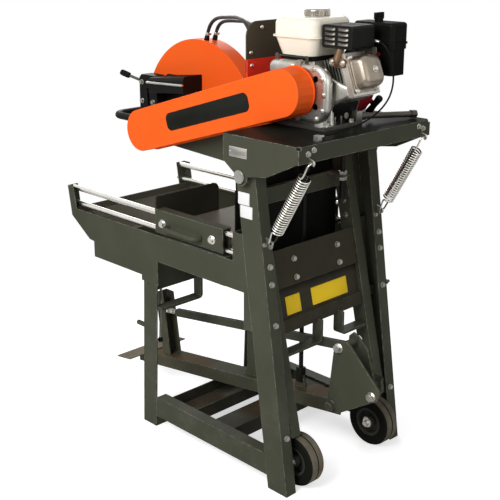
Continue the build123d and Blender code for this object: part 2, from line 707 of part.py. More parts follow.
def pedal_post():
    """Folded post near the beam's front end, open to the rear, holed for the tie bar's thread."""
    top = beam_line(POST_FOOT_Y) + BEAM_H / 2
    y, (head_y, head_z) = POST_FOOT_Y, POST_HEAD
    half, lean = POST_HALF, 3.0
    shape = [(y - half, top - lean - 2), (y + half, top + lean - 1), (head_y + half, head_z),
             (head_y - half, head_z)]
    hollow = [(y - half + PLATE, top + lean), (y + 2 * half, top + lean),
              (head_y + 2 * half, head_z + PLATE), (head_y - half + PLATE, head_z + PLATE)]
    x = (-POST_HALF_W, POST_HALF_W)
    return slab(outline(shape), x) - slab(outline(hollow), inset(x, PLATE)) - link_stud()


def pedal_fin():
    """Web plate that stands on the beam and steadies the tie bar, flared at its foot."""
    y0, y1 = FIN_Y
    base = [beam_line(y) + BEAM_H / 2 for y in (y0 - FIN_FLARE, y1)]
    head = [link_line(y) + LINK_HALF_H / 2 for y in (y0, y1)]
    shape = [(y0 - FIN_FLARE, base[0] - 1), (y1, base[1] - 1), (y1, head[1]), (y0, head[0]),
             (y0, base[0] + 2 * FIN_FLARE)]
    return slab(outline(shape), FIN_X)


def rod_lug():
    """Lug on the beam with the open lower pivot of the pull rod."""
    foot, head = 24.0, 12.0
    base = beam_line(ROD_Y) + BEAM_H / 2
    shape = [(ROD_Y - foot, base - 4), (ROD_Y + foot, base + 2), (ROD_Y + head, ROD_LOW_Z + 11),
             (ROD_Y - head, ROD_LOW_Z + 11)]
    x = (-ROD_LUG_HALF, ROD_LUG_HALF)
    return slab(outline(shape), x) - rod_x(x, ROD_Y, ROD_LOW_Z, ROD_PIN_R + ROD_PLAY)


def pedal_beam():
    """Inclined inverted channel from the foot tread to the fulcrum, with its post, fin and pull-rod lug."""
    y = (BEAM_FRONT[0], BEAM_REAR[0] + BEAM_END)
    h, w = BEAM_H / 2, BEAM_HALF_W
    beam = slab(beam_band(y, -h, h), (-w, w))
    beam -= slab(beam_band((y[0] - 1, y[1] + 1), -h - 9, h - PLATE), inset((-w, w), PLATE))
    beam += pedal_post()
    beam += pedal_fin()
    beam += rod_lug()
    return beam - rod_x((-w - 1, w + 1), *LEVER_B, FULCRUM_R + RUN)


def pedal_tread():
    """Foot plate across the beam's front end."""
    return slab(beam_band(TREAD_Y, BEAM_H / 2, BEAM_H / 2 + PLATE), (-TREAD_HALF, TREAD_HALF))


def plate_foot():
    """The twin plates' shared lower and front corners, round the fulcrum."""
    (by, bz), (ty, tz) = LEVER_B, LEVER_T
    bend = ((by + ty) / 2 - 18, (bz + tz) / 2 - 6)
    return [(by + 30, bz - 16), (by - 16, bz - 21), (by - 20, bz - 9), bend]


def pedal_plates():
    """Twin lever plates on both sides of the beam, the near one wider to its rear bolt."""
    (ty, tz), (ry, rz) = LEVER_T, LEVER_R
    near = [(ty - 17, tz + 7), (ty + 28, tz + 27), (ty + 44, tz + 16), (ry + 23, rz + 28),
            (ry + 29, rz + 14), (ry + 18, rz - 9)]
    far = [(ty - 24, tz + 10), (ty - 8, tz + 25), (ty + 12, tz + 15), (ty + 47, tz - 16),
           (ty + 65, tz - 75), (ry - 40, rz - 26)]
    w = BEAM_HALF_W
    plates = []
    twins = [(near, (w, w + TWIN_T), (LEVER_T, LEVER_R)), (far, (-w - TWIN_T, -w), (LEVER_T,))]
    for shape, x, bolts in twins:
        plate = slab(outline(shape + plate_foot()), x) - rod_x(x, *LEVER_B, FULCRUM_R + RUN)
        for y, z in bolts:
            plate -= rod_x(x, y, z, LEVER_BOLT_R)
        plates.append(plate)
    return plates


def link_line(y):
    """Z of the tie bar's middle line at y."""
    slope = (LEVER_T[1] - LINK_FRONT[1]) / (LEVER_T[0] - LINK_FRONT[0])
    return LINK_FRONT[1] + slope * (y - LINK_FRONT[0])


def link_at(along_bar, side):
    """(y, z) at a distance along the tie bar from its front end, moved sideways."""
    turn = math.atan2(LEVER_T[1] - LINK_FRONT[1], LEVER_T[0] - LINK_FRONT[0])
    return (LINK_FRONT[0] + along_bar * math.cos(turn) - side * math.sin(turn),
            LINK_FRONT[1] + along_bar * math.sin(turn) + side * math.cos(turn))


def stud_point(along_bar):
    """Point of the tie bar's threaded line."""
    return (sum(LINK_X) / 2, *link_at(along_bar, 0))


def stud_start():
    """Distance of the thread's front end from the tie bar, ahead of the post."""
    return POST_HEAD[0] - POST_HALF - 20 - LINK_FRONT[0]


def link_stud():
    """Threaded stud ahead of the tie bar, through the post's front wall."""
    return rod(stud_point(stud_start()), stud_point(0), STUD_R)


def pedal_link():
    """Flat tie bar beside the pull rod, from the stud at the post to the twin plates."""
    length = math.hypot(LEVER_T[0] - LINK_FRONT[0], LEVER_T[1] - LINK_FRONT[1]) + 16
    h, tip, taper = LINK_HALF_H, LINK_TIP_HALF, 12.0
    shape = [link_at(0, -tip), link_at(taper, -h), link_at(length, -h), link_at(length, h),
             link_at(taper, h), link_at(0, tip)]
    bar = slab(outline(shape), LINK_X)
    bar += rod_x((-BEAM_HALF_W, BEAM_HALF_W), *LEVER_T, LEVER_BOLT_R + 5)
    return bar - rod_x((-BEAM_HALF_W - 1, BEAM_HALF_W + 1), *LEVER_T, LEVER_BOLT_R)


def pedal_bolts():
    """Bolts of the twin plates, and the tie bar's stud with its nuts."""
    inner, face = BEAM_HALF_W, BEAM_HALF_W + TWIN_T
    tail = 8.0
    top = rod_x((-face - tail, face + tail), *LEVER_T, LEVER_BOLT_R)
    top += bolt((face, *LEVER_T), (1, 0, 0), 22, 15, 11)
    top += bolt((-face, *LEVER_T), (-1, 0, 0), 22, 15, 11)
    rear = rod_x((inner - 2 * tail, face + tail), *LEVER_R, LEVER_BOLT_R)
    rear += bolt((face, *LEVER_R), (1, 0, 0), 22, 15, 11)
    rear += bolt((inner, *LEVER_R), (-1, 0, 0), 19, 13, 9)
    direction = Vector(*stud_point(1)) - Vector(*stud_point(0))
    stud = link_stud()
    for start in STUD_NUTS + (stud_start() + 4,):
        stud += nut(stud_point(start), tuple(direction), 17, 10, STUD_R - 1)
    return [top, rear, stud]


def pedal_fulcrum():
    """Fixed shaft from a lug on the far upright, with a collar and a nut that keep the lever."""
    y, z = LEVER_B
    lug_t = 10.0
    face = BEAM_HALF_W + TWIN_T + GAP
    lug = box((-UPRIGHT_X0, lug_t - UPRIGHT_X0), (y - 44, y + 24), around(z, 26))
    shaft = rod_x((lug_t - UPRIGHT_X0, face + 16), y, z, FULCRUM_R)
    shaft += rod_x((-face - 12, -face), y, z, FULCRUM_R + 8)
    shaft += bolt((face, y, z), (1, 0, 0), 28, 17, 12)
    return lug + shaft


def pull_rod():
    """Rod from the head's lug down to the pedal beam, forked at both ends."""
    cheek = ROD_LUG_HALF + GAP
    outer = cheek + FORK_T
    y = around(ROD_Y, FORK_HALF)
    root, neck = 18.0, 36.0
    body = rod((0, ROD_Y, ROD_LOW_Z + neck - 2), (0, ROD_Y, PIVOT_Z - neck + 2), ROD_R)
    for z, turn in ((PIVOT_Z, -1), (ROD_LOW_Z, 1)):
        for side in (-1, 1):
            body += box((side * cheek, side * outer), y, (z - turn * 12, z + turn * root))
        body += box((-outer, outer), y, (z + turn * root, z + turn * neck))
        body += rod_x((-outer - 4, outer + 4), ROD_Y, z, ROD_PIN_R)
    return body


def cart_inner():
    """X of the cart's inner walls, inboard of the rails."""
    return CART_PLATE_X - CART_TUNNEL


def cart_table():
    """Flat cart bed with a turned-down edge on each side."""
    inner = cart_inner()
    y = (CART_Y0 + FENCE_T, CART_Y1)
    bed = box((-inner, inner), y, (TABLE_Z - PLATE, TABLE_Z))
    for side in (-1, 1):
        bed += box((side * inner, side * (inner - PLATE)), y, (CART_SKIRT_Z, TABLE_Z))
    return bed


def cart_sides():
    """Side plates outside the rails, joined to the bed by a top web over the upper rail."""
    inner = cart_inner()
    x = (CART_PLATE_X, CART_PLATE_X + PLATE)
    y = (CART_Y0, CART_Y1)
    plate = box(x, y, (RAIL_LOW_Z - 7, CART_HOOD_Z))
    plate += box((inner, x[0]), y, (CART_HOOD_Z - PLATE, CART_HOOD_Z))
    plate += box((inner, inner + PLATE), y, (CART_SKIRT_Z, CART_HOOD_Z))
    for roller_y in ROLLER_Y:
        plate -= rod_x(x, roller_y, roller_axle_z(), 5)
    return pair(plate)


def cart_fence():
    """Stop plate across the cart's front on the near side, rounded at its far corner, footed at the bed."""
    x1 = CART_PLATE_X + PLATE
    face = level((FENCE_END_X, x1), (CART_HOOD_Z, FENCE_TOP_Z))
    corner = face.vertices().sort_by(Axis.X)[:2].sort_by(Axis.Y)[-1]
    face = fillet(corner, FENCE_ROUND)
    fence = extrude(Plane((0, CART_Y0, 0), x_dir=(1, 0, 0), z_dir=(0, -1, 0)) * face, amount=-FENCE_T)
    foot_x = (FENCE_END_X, cart_inner() - PLATE)
    return fence + box(foot_x, (CART_Y0, CART_Y0 + FENCE_T), (TABLE_Z - PLATE, CART_HOOD_Z))


def roller_axle_z():
    """Height of the guide discs' bolts, midway between the rails."""
    return (RAIL_LOW_Z + RAIL_TOP_Z) / 2


def cart_glides():
    """Four guide discs between the rails, each with its through bolt and outer washer."""
    z = roller_axle_z()
    radius = (RAIL_TOP_Z - RAIL_LOW_Z) / 2 - RAIL_R - GAP
    parts = []
    for y in ROLLER_Y:
        glide = rod_x((cart_inner() + PLATE, CART_PLATE_X), y, z, radius)
        glide += bolt((CART_PLATE_X + PLATE, y, z), (1, 0, 0), 17, 14, 8)
        glide += rod_x((CART_PLATE_X, CART_PLATE_X + PLATE), y, z, 5)
        parts += pair(glide)
    return parts


def cart_handle():
    """Bent tube grip on the near side plate."""
    x0 = CART_PLATE_X + PLATE
    x1 = x0 + GRIP_REACH
    drop = 1.5
    route = [(x0, GRIP_Y[0], GRIP_Z + drop), (x1, GRIP_Y[0], GRIP_Z + drop), (x1, GRIP_Y[1], GRIP_Z - drop),
             (x0, GRIP_Y[1], GRIP_Z - drop)]
    path = FilletPolyline(*[Vector(*p) for p in route], radius=GRIP_BEND)
    return sweep(Plane(path @ 0, z_dir=path % 0) * Circle(GRIP_R), path=path)


def deck():
    """Folded engine deck: top plate, shaped side flanges with the hinge holes, rear flange."""
    x, inner_y = DECK_HALF, DECK_Y1 - PLATE
    top = box((-x, x), (DECK_Y0, DECK_Y1), (DECK_Z - PLATE, DECK_Z))
    rear = box((-x, x), (inner_y, DECK_Y1), (DECK_FLANGE_Z, DECK_Z))
    shape = [(DECK_Y0, DECK_Z), (DECK_Y0, PIVOT_Z + 36), (PIVOT_Y - 24, PIVOT_Z + 6),
             (PIVOT_Y + 11, PIVOT_Z + 1), (PIVOT_Y + 99, PIVOT_Z + 14), (inner_y, DECK_FLANGE_Z + 1),
             (inner_y, DECK_Z)]
    flange = slab(outline(shape), (x - PLATE, x))
    flange += rod_x((x - PLATE, x), PIVOT_Y, PIVOT_Z, 2 * PIN_R + 1)
    flange -= rod_x((x - 2 * PLATE, x + PLATE), PIVOT_Y, PIVOT_Z, PIN_R + RUN)
    relief = rod((x - PLATE, inner_y, DECK_Z - 2 * PLATE), (x - PLATE, inner_y, DECK_Z + PLATE), 7)
    return top + rear + flange + mirrored(flange) - relief - mirrored(relief)


def arm():
    """Deep folded arm under the deck, tapering to the arbor housing, open below."""
    tail, knee = SHIELD_FOOT_Y, PIVOT_Y - 61
    nose, neck = ARM_NOSE_Y, ARBOR_Y + 18
    shape = [(tail, FOOT_Z), (tail, FOOT_Z - 38), (PIVOT_Y - 17, PIVOT_Z + 25), (knee, PIVOT_Z - 35),
             (knee - 36, PIVOT_Z - 41), (-121, PIVOT_Z - 28), (neck, ARBOR_Z - 44),
             (nose + 20, ARBOR_Z - 32), (nose, ARBOR_Z - 16), (nose, ARBOR_Z + 18),
             (nose + 20, ARBOR_Z + 36), (neck, ARBOR_Z + 46), (SHIELD_Y - PLATE, FOOT_Z)]
    body = slab(outline(shape), (ARM_X0, ARM_X1))
    top, below, front = FOOT_Z - ARM_WALL, PIVOT_Z - 57, ARBOR_Y + 68
    hollow = [(tail - 10, top), (tail - 10, FOOT_Z - 52), (PIVOT_Y - 17, PIVOT_Z + 3), (knee, below),
              (front, below), (front, top - 27), (SHIELD_Y - PLATE, top)]
    body -= slab(outline(hollow), inset((ARM_X0, ARM_X1), ARM_WALL))
    return body - rod_x((ARM_X0 - 1, ARM_X1 + 1), ARBOR_Y, ARBOR_Z, HOUSING_R)


def arbor_housing():
    """Turned bearing housing through the arm, flanged to carry the blade guard."""
    bore, flange, collar, end = ARBOR_R + RUN, HOUSING_R + 30, HOUSING_R + 8, BELT_X0 - SHEET
    profile = [(bore, GUARD_X1), (flange, GUARD_X1), (flange, GUARD_X1 + 14), (collar, GUARD_X1 + 22),
               (collar, ARM_X0), (HOUSING_R, ARM_X0), (HOUSING_R, end), (bore, end)]
    return turned(profile, (0, ARBOR_Y, ARBOR_Z))


def pulley_profile(groove):
    """(radius, x) points of a grooved pulley's rim, from its inner face to its outer face."""
    rim, cheek = groove + RIM, 3.0
    return [(rim, PULLEY_X0), (rim, PULLEY_X0 + cheek), (groove, PULLEY_X0 + cheek),
            (groove, PULLEY_X1 - cheek), (rim, PULLEY_X1 - cheek), (rim, PULLEY_X1)]


def arbor():
    """Blade arbor: shaft, two blade flanges and nut in the guard, grooved pulley in the belt guard."""
    blade_x = (GUARD_X0 + GUARD_X1) / 2
    flange, seat, end = 55.0, ARBOR_R - 2, PULLEY_X1 + 8
    hub = ARBOR_GROOVE_R - 20
    profile = [
        (0, GUARD_X0 + 8), (seat - 1, GUARD_X0 + 8), (seat - 1, blade_x - 20), (flange, blade_x - 14),
        (flange, blade_x - 2), (seat, blade_x - 2), (seat, blade_x + 2), (flange, blade_x + 2),
        (flange, blade_x + 14), (ARBOR_R, blade_x + 22), (ARBOR_R, PULLEY_X0 - 6), (hub, PULLEY_X0 - 6),
        (hub, PULLEY_X0), *pulley_profile(ARBOR_GROOVE_R), (ARBOR_R, PULLEY_X1), (ARBOR_R, end), (0, end),
    ]
    return turned(profile, (0, ARBOR_Y, ARBOR_Z))


def crank_pulley():
    """Engine output shaft with its grooved pulley."""
    start, end = BLOCK_X1 + 16 + GAP, PULLEY_X1 + 8
    hub = CRANK_GROOVE_R - 18
    profile = [(0, start), (CRANK_R, start), (CRANK_R, PULLEY_X0 - 6), (hub, PULLEY_X0 - 6),
               (hub, PULLEY_X0), *pulley_profile(CRANK_GROOVE_R), (CRANK_R, PULLEY_X1), (CRANK_R, end),
               (0, end)]
    return turned(profile, (0, CRANK_Y, CRANK_Z))


def drive_turns(front_r, rear_r):
    """Angles, about the arbor and the crank, where straight lines touch a circle round each."""
    run = math.hypot(CRANK_Y - ARBOR_Y, CRANK_Z - ARBOR_Z)
    lean = math.atan2(CRANK_Z - ARBOR_Z, CRANK_Y - ARBOR_Y)
    tilt = math.acos((front_r - rear_r) / run)
    return lean + tilt, lean - tilt, lean


def on_circle(centre, radius, turn):
    """(y, z) on a circle at an angle."""
    return centre[0] + radius * math.cos(turn), centre[1] + radius * math.sin(turn)


def loop_face(front_r, rear_r):
    """Outline hugging two circles, at the arbor and at the crank, in the plane X = 0."""
    up, down, lean = drive_turns(front_r, rear_r)
    front = [(0, *on_circle((ARBOR_Y, ARBOR_Z), front_r, a)) for a in (up, lean + math.pi, down)]
    rear = [(0, *on_circle((CRANK_Y, CRANK_Z), rear_r, a)) for a in (down, lean, up)]
    edges = [ThreePointArc(*front), Line(front[2], rear[0]), ThreePointArc(*rear), Line(rear[2], front[0])]
    return make_face(edges)


def facet_face(radius):
    """The belt guard's wall line: both round ends folded in straight facets."""
    up, down, lean = drive_turns(radius, radius)
    steps = range(BELT_GUARD_FACETS + 1)
    front = [on_circle((ARBOR_Y, ARBOR_Z), radius, up + math.pi * n / BELT_GUARD_FACETS) for n in steps]
    rear = [on_circle((CRANK_Y, CRANK_Z), radius, down + math.pi * n / BELT_GUARD_FACETS) for n in steps]
    return outline(front + rear)


def drive_belt():
    """Flat belt band round both pulleys, clear of their grooves."""
    x = inset((PULLEY_X0, PULLEY_X1), 4)
    front, rear = ARBOR_GROOVE_R + GAP, CRANK_GROOVE_R + GAP
    return slab(loop_face(front + BELT_T, rear + BELT_T), x) - slab(loop_face(front, rear), x)


def belt_guard():
    """Long cover over the belt drive, open at the back: a faceted wall under a round-ended face."""
    r = BELT_GUARD_R
    face = slab(loop_face(r, r), (BELT_X1 - SHEET, BELT_X1))
    face = fillet(face.faces().sort_by(Axis.X)[-1].edges(), SHEET - 1)
    x = (BELT_X0, BELT_X1 - SHEET)
    return face + (slab(facet_face(r), x) - slab(facet_face(r - SHEET), x))


def belt_backplate():
    """Back plate of the belt guard, holed for the housing and the crank."""
    r, hole = BELT_GUARD_R + 4, 30.0
    x = (BELT_X0 - SHEET, BELT_X0)
    plate = slab(loop_face(r, r), x) - rod_x(x, ARBOR_Y, ARBOR_Z, hole)
    return plate - rod_x(x, CRANK_Y, CRANK_Z, hole)


def blade_guard():
    """Half-drum sheet guard over the blade, open below, with two hose nipples on its rim."""
    x = (GUARD_X0, GUARD_X1)
    drum = rod_x(x, ARBOR_Y, ARBOR_Z, GUARD_R)
    drum = fillet(drum.edges().filter_by(GeomType.CIRCLE), SHEET - 1)
    drum -= rod_x(inset(x, SHEET), ARBOR_Y, ARBOR_Z, GUARD_R - SHEET)
    reach = GUARD_R + 1
    drum -= box(inset(x, -1), around(ARBOR_Y, reach), (ARBOR_Z - reach, GUARD_CUT_Z))
    drum -= rod_x((x[1] - 2 * SHEET, x[1] + SHEET), ARBOR_Y, ARBOR_Z, ARBOR_R + 9)
    for hose in (HOSE_1, HOSE_2):
        end, towards = Vector(*hose[0]), Vector(*hose[1])
        root = end - (towards - end).normalized() * 18
        drum += rod(tuple(root), tuple(end), HOSE_R + 1)
    return drum


def clamp_x():
    """X of the clamp lever's pin, in the middle of the clamp block."""
    return GUARD_X1 + BLOCK_DEPTH / 2 - 1


def guard_clamp():
    """Clamp block on the guard's near face, slotted and bored, and the folded channel behind it."""
    block = box((GUARD_X1, GUARD_X1 + BLOCK_DEPTH), BLOCK_Y, BLOCK_Z)
    block = chamfer(block.edges().filter_by(Axis.X).sort_by(Axis.Z)[-2:], 12)
    slot_y = (BLOCK_Y[0] + 39, BLOCK_Y[0] + 54)
    block -= box((GUARD_X1 + 10, GUARD_X1 + BLOCK_DEPTH + 1), slot_y, (BLOCK_Z[0] - 1, CLAMP_Z - 12))
    pin = (clamp_x(), BLOCK_Y[0] - 1, CLAMP_Z)
    block -= rod(pin, (clamp_x(), BLOCK_Y[0] + 26, CLAMP_Z), CLAMP_PIN_R + RUN)
    x = (GUARD_X1, GUARD_X1 + CHANNEL_DEPTH)
    channel = slab(outline(CHANNEL_TOP + CHANNEL_LOW), x)
    channel = fillet(channel.edges().sort_by(lambda e: -e.center().Z - e.center().X)[0], 14)
    (y0, top0), (y1, top1) = CHANNEL_TOP
    low1, low0 = CHANNEL_LOW[0][1], CHANNEL_LOW[1][1]
    hollow = [(y0 - PLATE, top0 - 6), (y1 - PLATE, top1 - 6), (y1 - PLATE, low1 - 24),
              (y0 - PLATE, low0 - 22)]
    return [block, channel - slab(outline(hollow), inset(x, PLATE))]


def operator_handle():
    """Bent tube from the arm's nose, across in front of the guard, to a lug on the guard's far face."""
    z, end_y = ARBOR_Z, BLOCK_Y[1]
    route = [(HANDLE_X, ARM_NOSE_Y, z), (HANDLE_X, HANDLE_Y, z), (HANDLE_FAR_X, HANDLE_Y, z),
             (HANDLE_FAR_X, end_y, z)]
    path = FilletPolyline(*[Vector(*p) for p in route], radius=HANDLE_BEND)
    body = sweep(Plane(path @ 0, z_dir=path % 0) * Circle(HANDLE_R), path=path)
    lug_y = (end_y - 30, end_y - 6)
    return body + box((HANDLE_FAR_X, GUARD_X0), lug_y, around(z, HANDLE_R - 1))


def splash_shield():
    """Upright orange plate ahead of the engine, on a foot under the deck, with the pull-rod lug."""
    x = (SHIELD_X0, ARM_X1)
    plate = box(x, (SHIELD_Y, SHIELD_Y + PLATE), (FOOT_Z, SHIELD_TOP_Z))
    plate += box(x, (SHIELD_Y, SHIELD_FOOT_Y), (FOOT_Z, FOOT_Z + PLATE))
    root, tip, low = 26.0, 13.0, PIVOT_Z - 12
    lug = outline([(ROD_Y - root, FOOT_Z), (ROD_Y + root, FOOT_Z), (ROD_Y + tip, low), (ROD_Y - tip, low)])
    lug_x = (-ROD_LUG_HALF, ROD_LUG_HALF)
    return plate + (slab(lug, lug_x) - rod_x(lug_x, ROD_Y, PIVOT_Z, ROD_PIN_R + RUN))


def shield_flap():
    """Rubber flap above the shield plate, with a rounded near corner."""
    face = level((SHIELD_X0, ARM_X1), FLAP_Z)
    corner = face.vertices().group_by(Axis.Y)[-1].sort_by(Axis.X)[-1]
    face = fillet(corner, FLAP_ROUND)
    return extrude(Plane((0, SHIELD_Y, 0), x_dir=(1, 0, 0), z_dir=(0, -1, 0)) * face, amount=PLATE)


def along(distance, side=0.0):
    """(y, z) at a distance along the cylinder's axis from the crank, moved sideways."""
    lean = math.radians(CYL_LEAN)
    return (CRANK_Y + distance * math.cos(lean) - side * math.sin(lean),
            CRANK_Z + distance * math.sin(lean) + side * math.cos(lean))


def lean_block(d, half, x):
    """Block square to the cylinder's axis between two distances."""
    corners = [along(d[0], -half), along(d[1], -half), along(d[1], half), along(d[0], half)]
    return slab(outline(corners), x)


def crankcase():
    """Crankcase on its foot, with the pipe boss, two drain plugs and a ribbed rear wall."""
    x, floor = (BLOCK_X0, BLOCK_X1), DECK_Z + ENGINE_FOOT_H
    foot = box(inset(x, -4), ENGINE_FOOT_Y, (DECK_Z, floor))
    rear = ENGINE_FOOT_Y[1] - 28
    root = FIN_START - 6
    shape = [(BLOCK_FRONT_Y + 14, floor), (rear, floor), along(root, 2 - HEAD_HALF),
             along(root, HEAD_HALF + 2), (CRANK_Y + 36, BLOCK_TOP_Z), (BLOCK_FRONT_Y + 46, BLOCK_TOP_Z),
             (BLOCK_FRONT_Y + 8, BLOCK_TOP_Z - 36), (BLOCK_FRONT_Y, floor + 48)]
    block = slab(outline(shape), x) + foot
    block += box((x[0], x[0] + 24), around(OIL_START[0], 16), (floor, floor + 28))
    for plug_x in (x[0] + 48, x[1] - 30):
        block += rod((plug_x, rear - 2, floor + 18), (plug_x, rear + 12, floor + 18), 9)
    for rib_x in (x[0] + 70, x[0] + 96, x[1] - 8):
        block += box((rib_x, rib_x + 5), (rear - 2, rear + 14), (floor - 1, floor + 20))
    return block


def engine_block():
    """Crankcase, output cover with its bolt bosses, and finned cylinder: one casting."""
    block = crankcase()
    cover_r, boss = 76.0, 39.0
    for y in (-boss, boss):
        for z in (-boss, boss):
            block += rod_x((BLOCK_X1, BELT_X0 - SHEET), CRANK_Y + y, CRANK_Z + z, 8)
    for n in range(6):
        y, z = on_circle((CRANK_Y, CRANK_Z), cover_r, math.radians(60 * n + 30))
        block += rod_x((BLOCK_X1, BLOCK_X1 + 14), y, z, 9)
    block += rod_x((BLOCK_X1, BLOCK_X1 + 10), CRANK_Y, CRANK_Z, cover_r)
    block += rod_x((BLOCK_X1, BLOCK_X1 + 16), CRANK_Y, CRANK_Z, 34)
    block += rod((CYL_X, CRANK_Y, CRANK_Z), (CYL_X, *along(HEAD_START)), CYL_R)
    fin_x = around(CYL_X, FIN_HALF_X)
    for n in range(FIN_COUNT):
        start = FIN_START + FIN_PITCH * n
        block += lean_block((start, start + 4), HEAD_HALF, fin_x)
    return block + lean_block((HEAD_START, HEAD_END), HEAD_HALF, fin_x)


def rocker_cover():
    """Pressed valve cover on the cylinder head, on its bolted flange."""
    flange = lean_block((HEAD_END, HEAD_END + 4), HEAD_HALF - 8, around(CYL_X, FIN_HALF_X - 6))
    cover = lean_block((HEAD_END + 4, COVER_END), HEAD_HALF - 16, around(CYL_X, FIN_HALF_X - 14))
    end = cover.faces().sort_by(lambda f: -f.center().Y - f.center().Z * 0.36)[0]
    return flange + fillet(end.edges(), 10)


def fan_shroud():
    """Fan and starter cover on the far side: a stepped round shell with a ring of slots."""
    r, x1, drum = SHROUD_R, BLOCK_X0, SHROUD_R - 20
    end, step = x1 - SHROUD_DEPTH, x1 - SHROUD_DEPTH + 22
    outer = [(r, x1), (r, step + 12), (r - 12, step), (drum, step), (drum - 4, end + 6), (drum - 12, end),
             (0, end)]
    inner = [(0, end + SHEET), (drum - 14, end + SHEET), (drum - 7, end + 8), (drum - 3, step + SHEET),
             (r - 13, step + SHEET), (r - SHEET, step + 13), (r - SHEET, x1 - PLATE),
             (drum - 14, x1 - PLATE), (drum - 14, x1)]
    shroud = turned(outer + inner, (0, CRANK_Y, CRANK_Z))
    for n in range(SHROUD_SLOTS):
        turn = Rot(360 / SHROUD_SLOTS * n, 0, 0)
        shroud -= Pos(end, CRANK_Y, CRANK_Z) * turn * Pos(0, 0, drum - 29) * Box(14, 9, 26)
    ferrule = rod((RECOIL_X, *recoil_at(drum - 4)), (RECOIL_X, *recoil_at(RECOIL_R - 9.5)), 7)
    return shroud + ferrule


def recoil_at(radius):
    """(y, z) on the starter cord's line at a radius from the crank."""
    return on_circle((CRANK_Y, CRANK_Z), radius, math.radians(RECOIL_TURN))


def recoil_handle():
    """Black pull grip beside the starter, waisted in the middle, at the end of its cord's ferrule."""
    profile = [(0, -33), (9, -33), (11, -28), (8.5, 0), (11, 28), (9, 33), (0, 33)]
    grip = revolve(make_face(Polyline([(r, 0, h) for r, h in profile], close=True)), Axis.Z)
    return Pos(RECOIL_X, *recoil_at(RECOIL_R)) * Rot(RECOIL_TURN, 0, 0) * grip


def tank_plan(height, drawn, corner):
    """The tank's rounded plan at a height, drawn in on every side."""
    size = [b - a - 2 * drawn for a, b in (TANK_X, TANK_Y)]
    return Pos(sum(TANK_X) / 2, sum(TANK_Y) / 2, height) * RectangleRounded(*size, corner)


def tank_form(wall):
    """The tank's rounded body, drawn in from its skin by a wall."""
    seam = tank_plan(SEAM_Z, wall, 30 - wall)
    lower = loft([seam, tank_plan(BLOCK_TOP_Z + wall, wall + TANK_DRAW, 24 - wall)])
    lower = fillet(lower.faces().sort_by(Axis.Z)[0].edges(), 9 - wall)
    upper = extrude(seam, amount=TANK_UPPER_H - wall)
    return lower + fillet(upper.faces().sort_by(Axis.Z)[-1].edges(), 20 - wall)


def fuel_tank():
    """Two pressed halves on a seam flange, hollow, with an open filler neck."""
    flange = extrude(tank_plan(SEAM_Z - 2, -6, 34), amount=4)
    neck = rod((CAP_X, CAP_Y, TANK_TOP_Z - 2), (CAP_X, CAP_Y, TANK_TOP_Z + NECK_H), NECK_R)
    filler = rod((CAP_X, CAP_Y, TANK_TOP_Z - 9), (CAP_X, CAP_Y, TANK_TOP_Z + NECK_H + 1), NECK_R - 4)
    return tank_form(0) + flange + neck - tank_form(TANK_WALL) - filler


def fuel_cap():
    """Domed cap with a knurled rim over the filler neck."""
    low = TANK_TOP_Z + 1
    cap = rod((CAP_X, CAP_Y, low), (CAP_X, CAP_Y, low + CAP_H), CAP_R)
    cap = fillet(cap.edges().sort_by(Axis.Z)[-1], CAP_H / 3)
    cap -= rod((CAP_X, CAP_Y, low - 1), (CAP_X, CAP_Y, TANK_TOP_Z + NECK_H + GAP), NECK_R + GAP)
    for n in range(12):
        x, y = on_circle((CAP_X, CAP_Y), CAP_R, math.radians(30 * n))
        cap -= rod((x, y, low - 1), (x, y, low + 0.65 * CAP_H), 3)
    return cap


def muffler():
    """Silencer in its slotted heat guard, on the exhaust pipe from the cylinder head."""
    x, y, z = MUFFLER_X, MUFFLER_Y, MUFFLER_Z
    guard = fillet(box(x, y, z).edges().filter_by(Axis.X), 7)
    slot, depth = 6.0, 9.0
    for column in range(2):
        for row in range(4):
            y0, z0 = y[0] + 11 + 46 * column, z[0] + 9 + 13 * row
            guard -= box((x[1] - depth, x[1] + 1), (y0, y0 + 36), (z0, z0 + slot))
    for n in range(7):
        x0 = x[0] + 8 + 12 * n
        guard -= box((x0, x0 + slot), inset(y, 14), (z[1] - depth, z[1] + 1))
    foot_y, foot_z = along(HEAD_START + 10, 50)
    pipe = rod((CYL_X + 18, foot_y, foot_z), (CYL_X + 18, foot_y, z[0] + 2), 13)
    return guard + (pipe - lean_block((HEAD_START - 24, HEAD_END + 16), HEAD_HALF, inset(MUFFLER_X, -30)))


def air_cleaner():
    """Black filter box with a hanging rear half, a seam rib and a wing knob on top."""
    x, y, z = CLEANER_X, CLEANER_Y, CLEANER_Z
    upper = fillet(box(x, y, z).edges().filter_by(Axis.Z), 14)
    upper = fillet(upper.faces().sort_by(Axis.Z)[-1].edges(), 9)
    drop = box(inset(x, 4), (CLEANER_DROP_Y, y[1] - 4), (z[0] - CLEANER_DROP, z[0]))
    drop = fillet(drop.edges().filter_by(Axis.Z), 10)
    rib = fillet(box(inset(x, -3), inset(y, -3), (z[0] + 14, z[0] + 19)).edges().filter_by(Axis.Z), 16)
    knob_x, knob_y = sum(x) / 2, sum(y) / 2 - 6
    knob = rod((knob_x, knob_y, z[1] - 2), (knob_x, knob_y, z[1] + 12), KNOB_R)
    knob += box(around(knob_x, 1.5 * KNOB_R), around(knob_y, 4), (z[1] + 6, z[1] + 24))
    low = z[0] - CLEANER_DROP
    bowl_y = (CLEANER_DROP_Y + 4, CLEANER_DROP_Y + 30)
    carburettor = box((x[1] - 6, CYL_X - FIN_HALF_X), bowl_y, (low + 4, low + 48))
    stop_x, stop_y, stop_z = CABLE[0]
    cable_stop = box((x[1] - 2, stop_x + 6), (stop_y - 10, stop_y), around(stop_z, 6))
    return upper + drop + rib + knob + carburettor + cable_stop


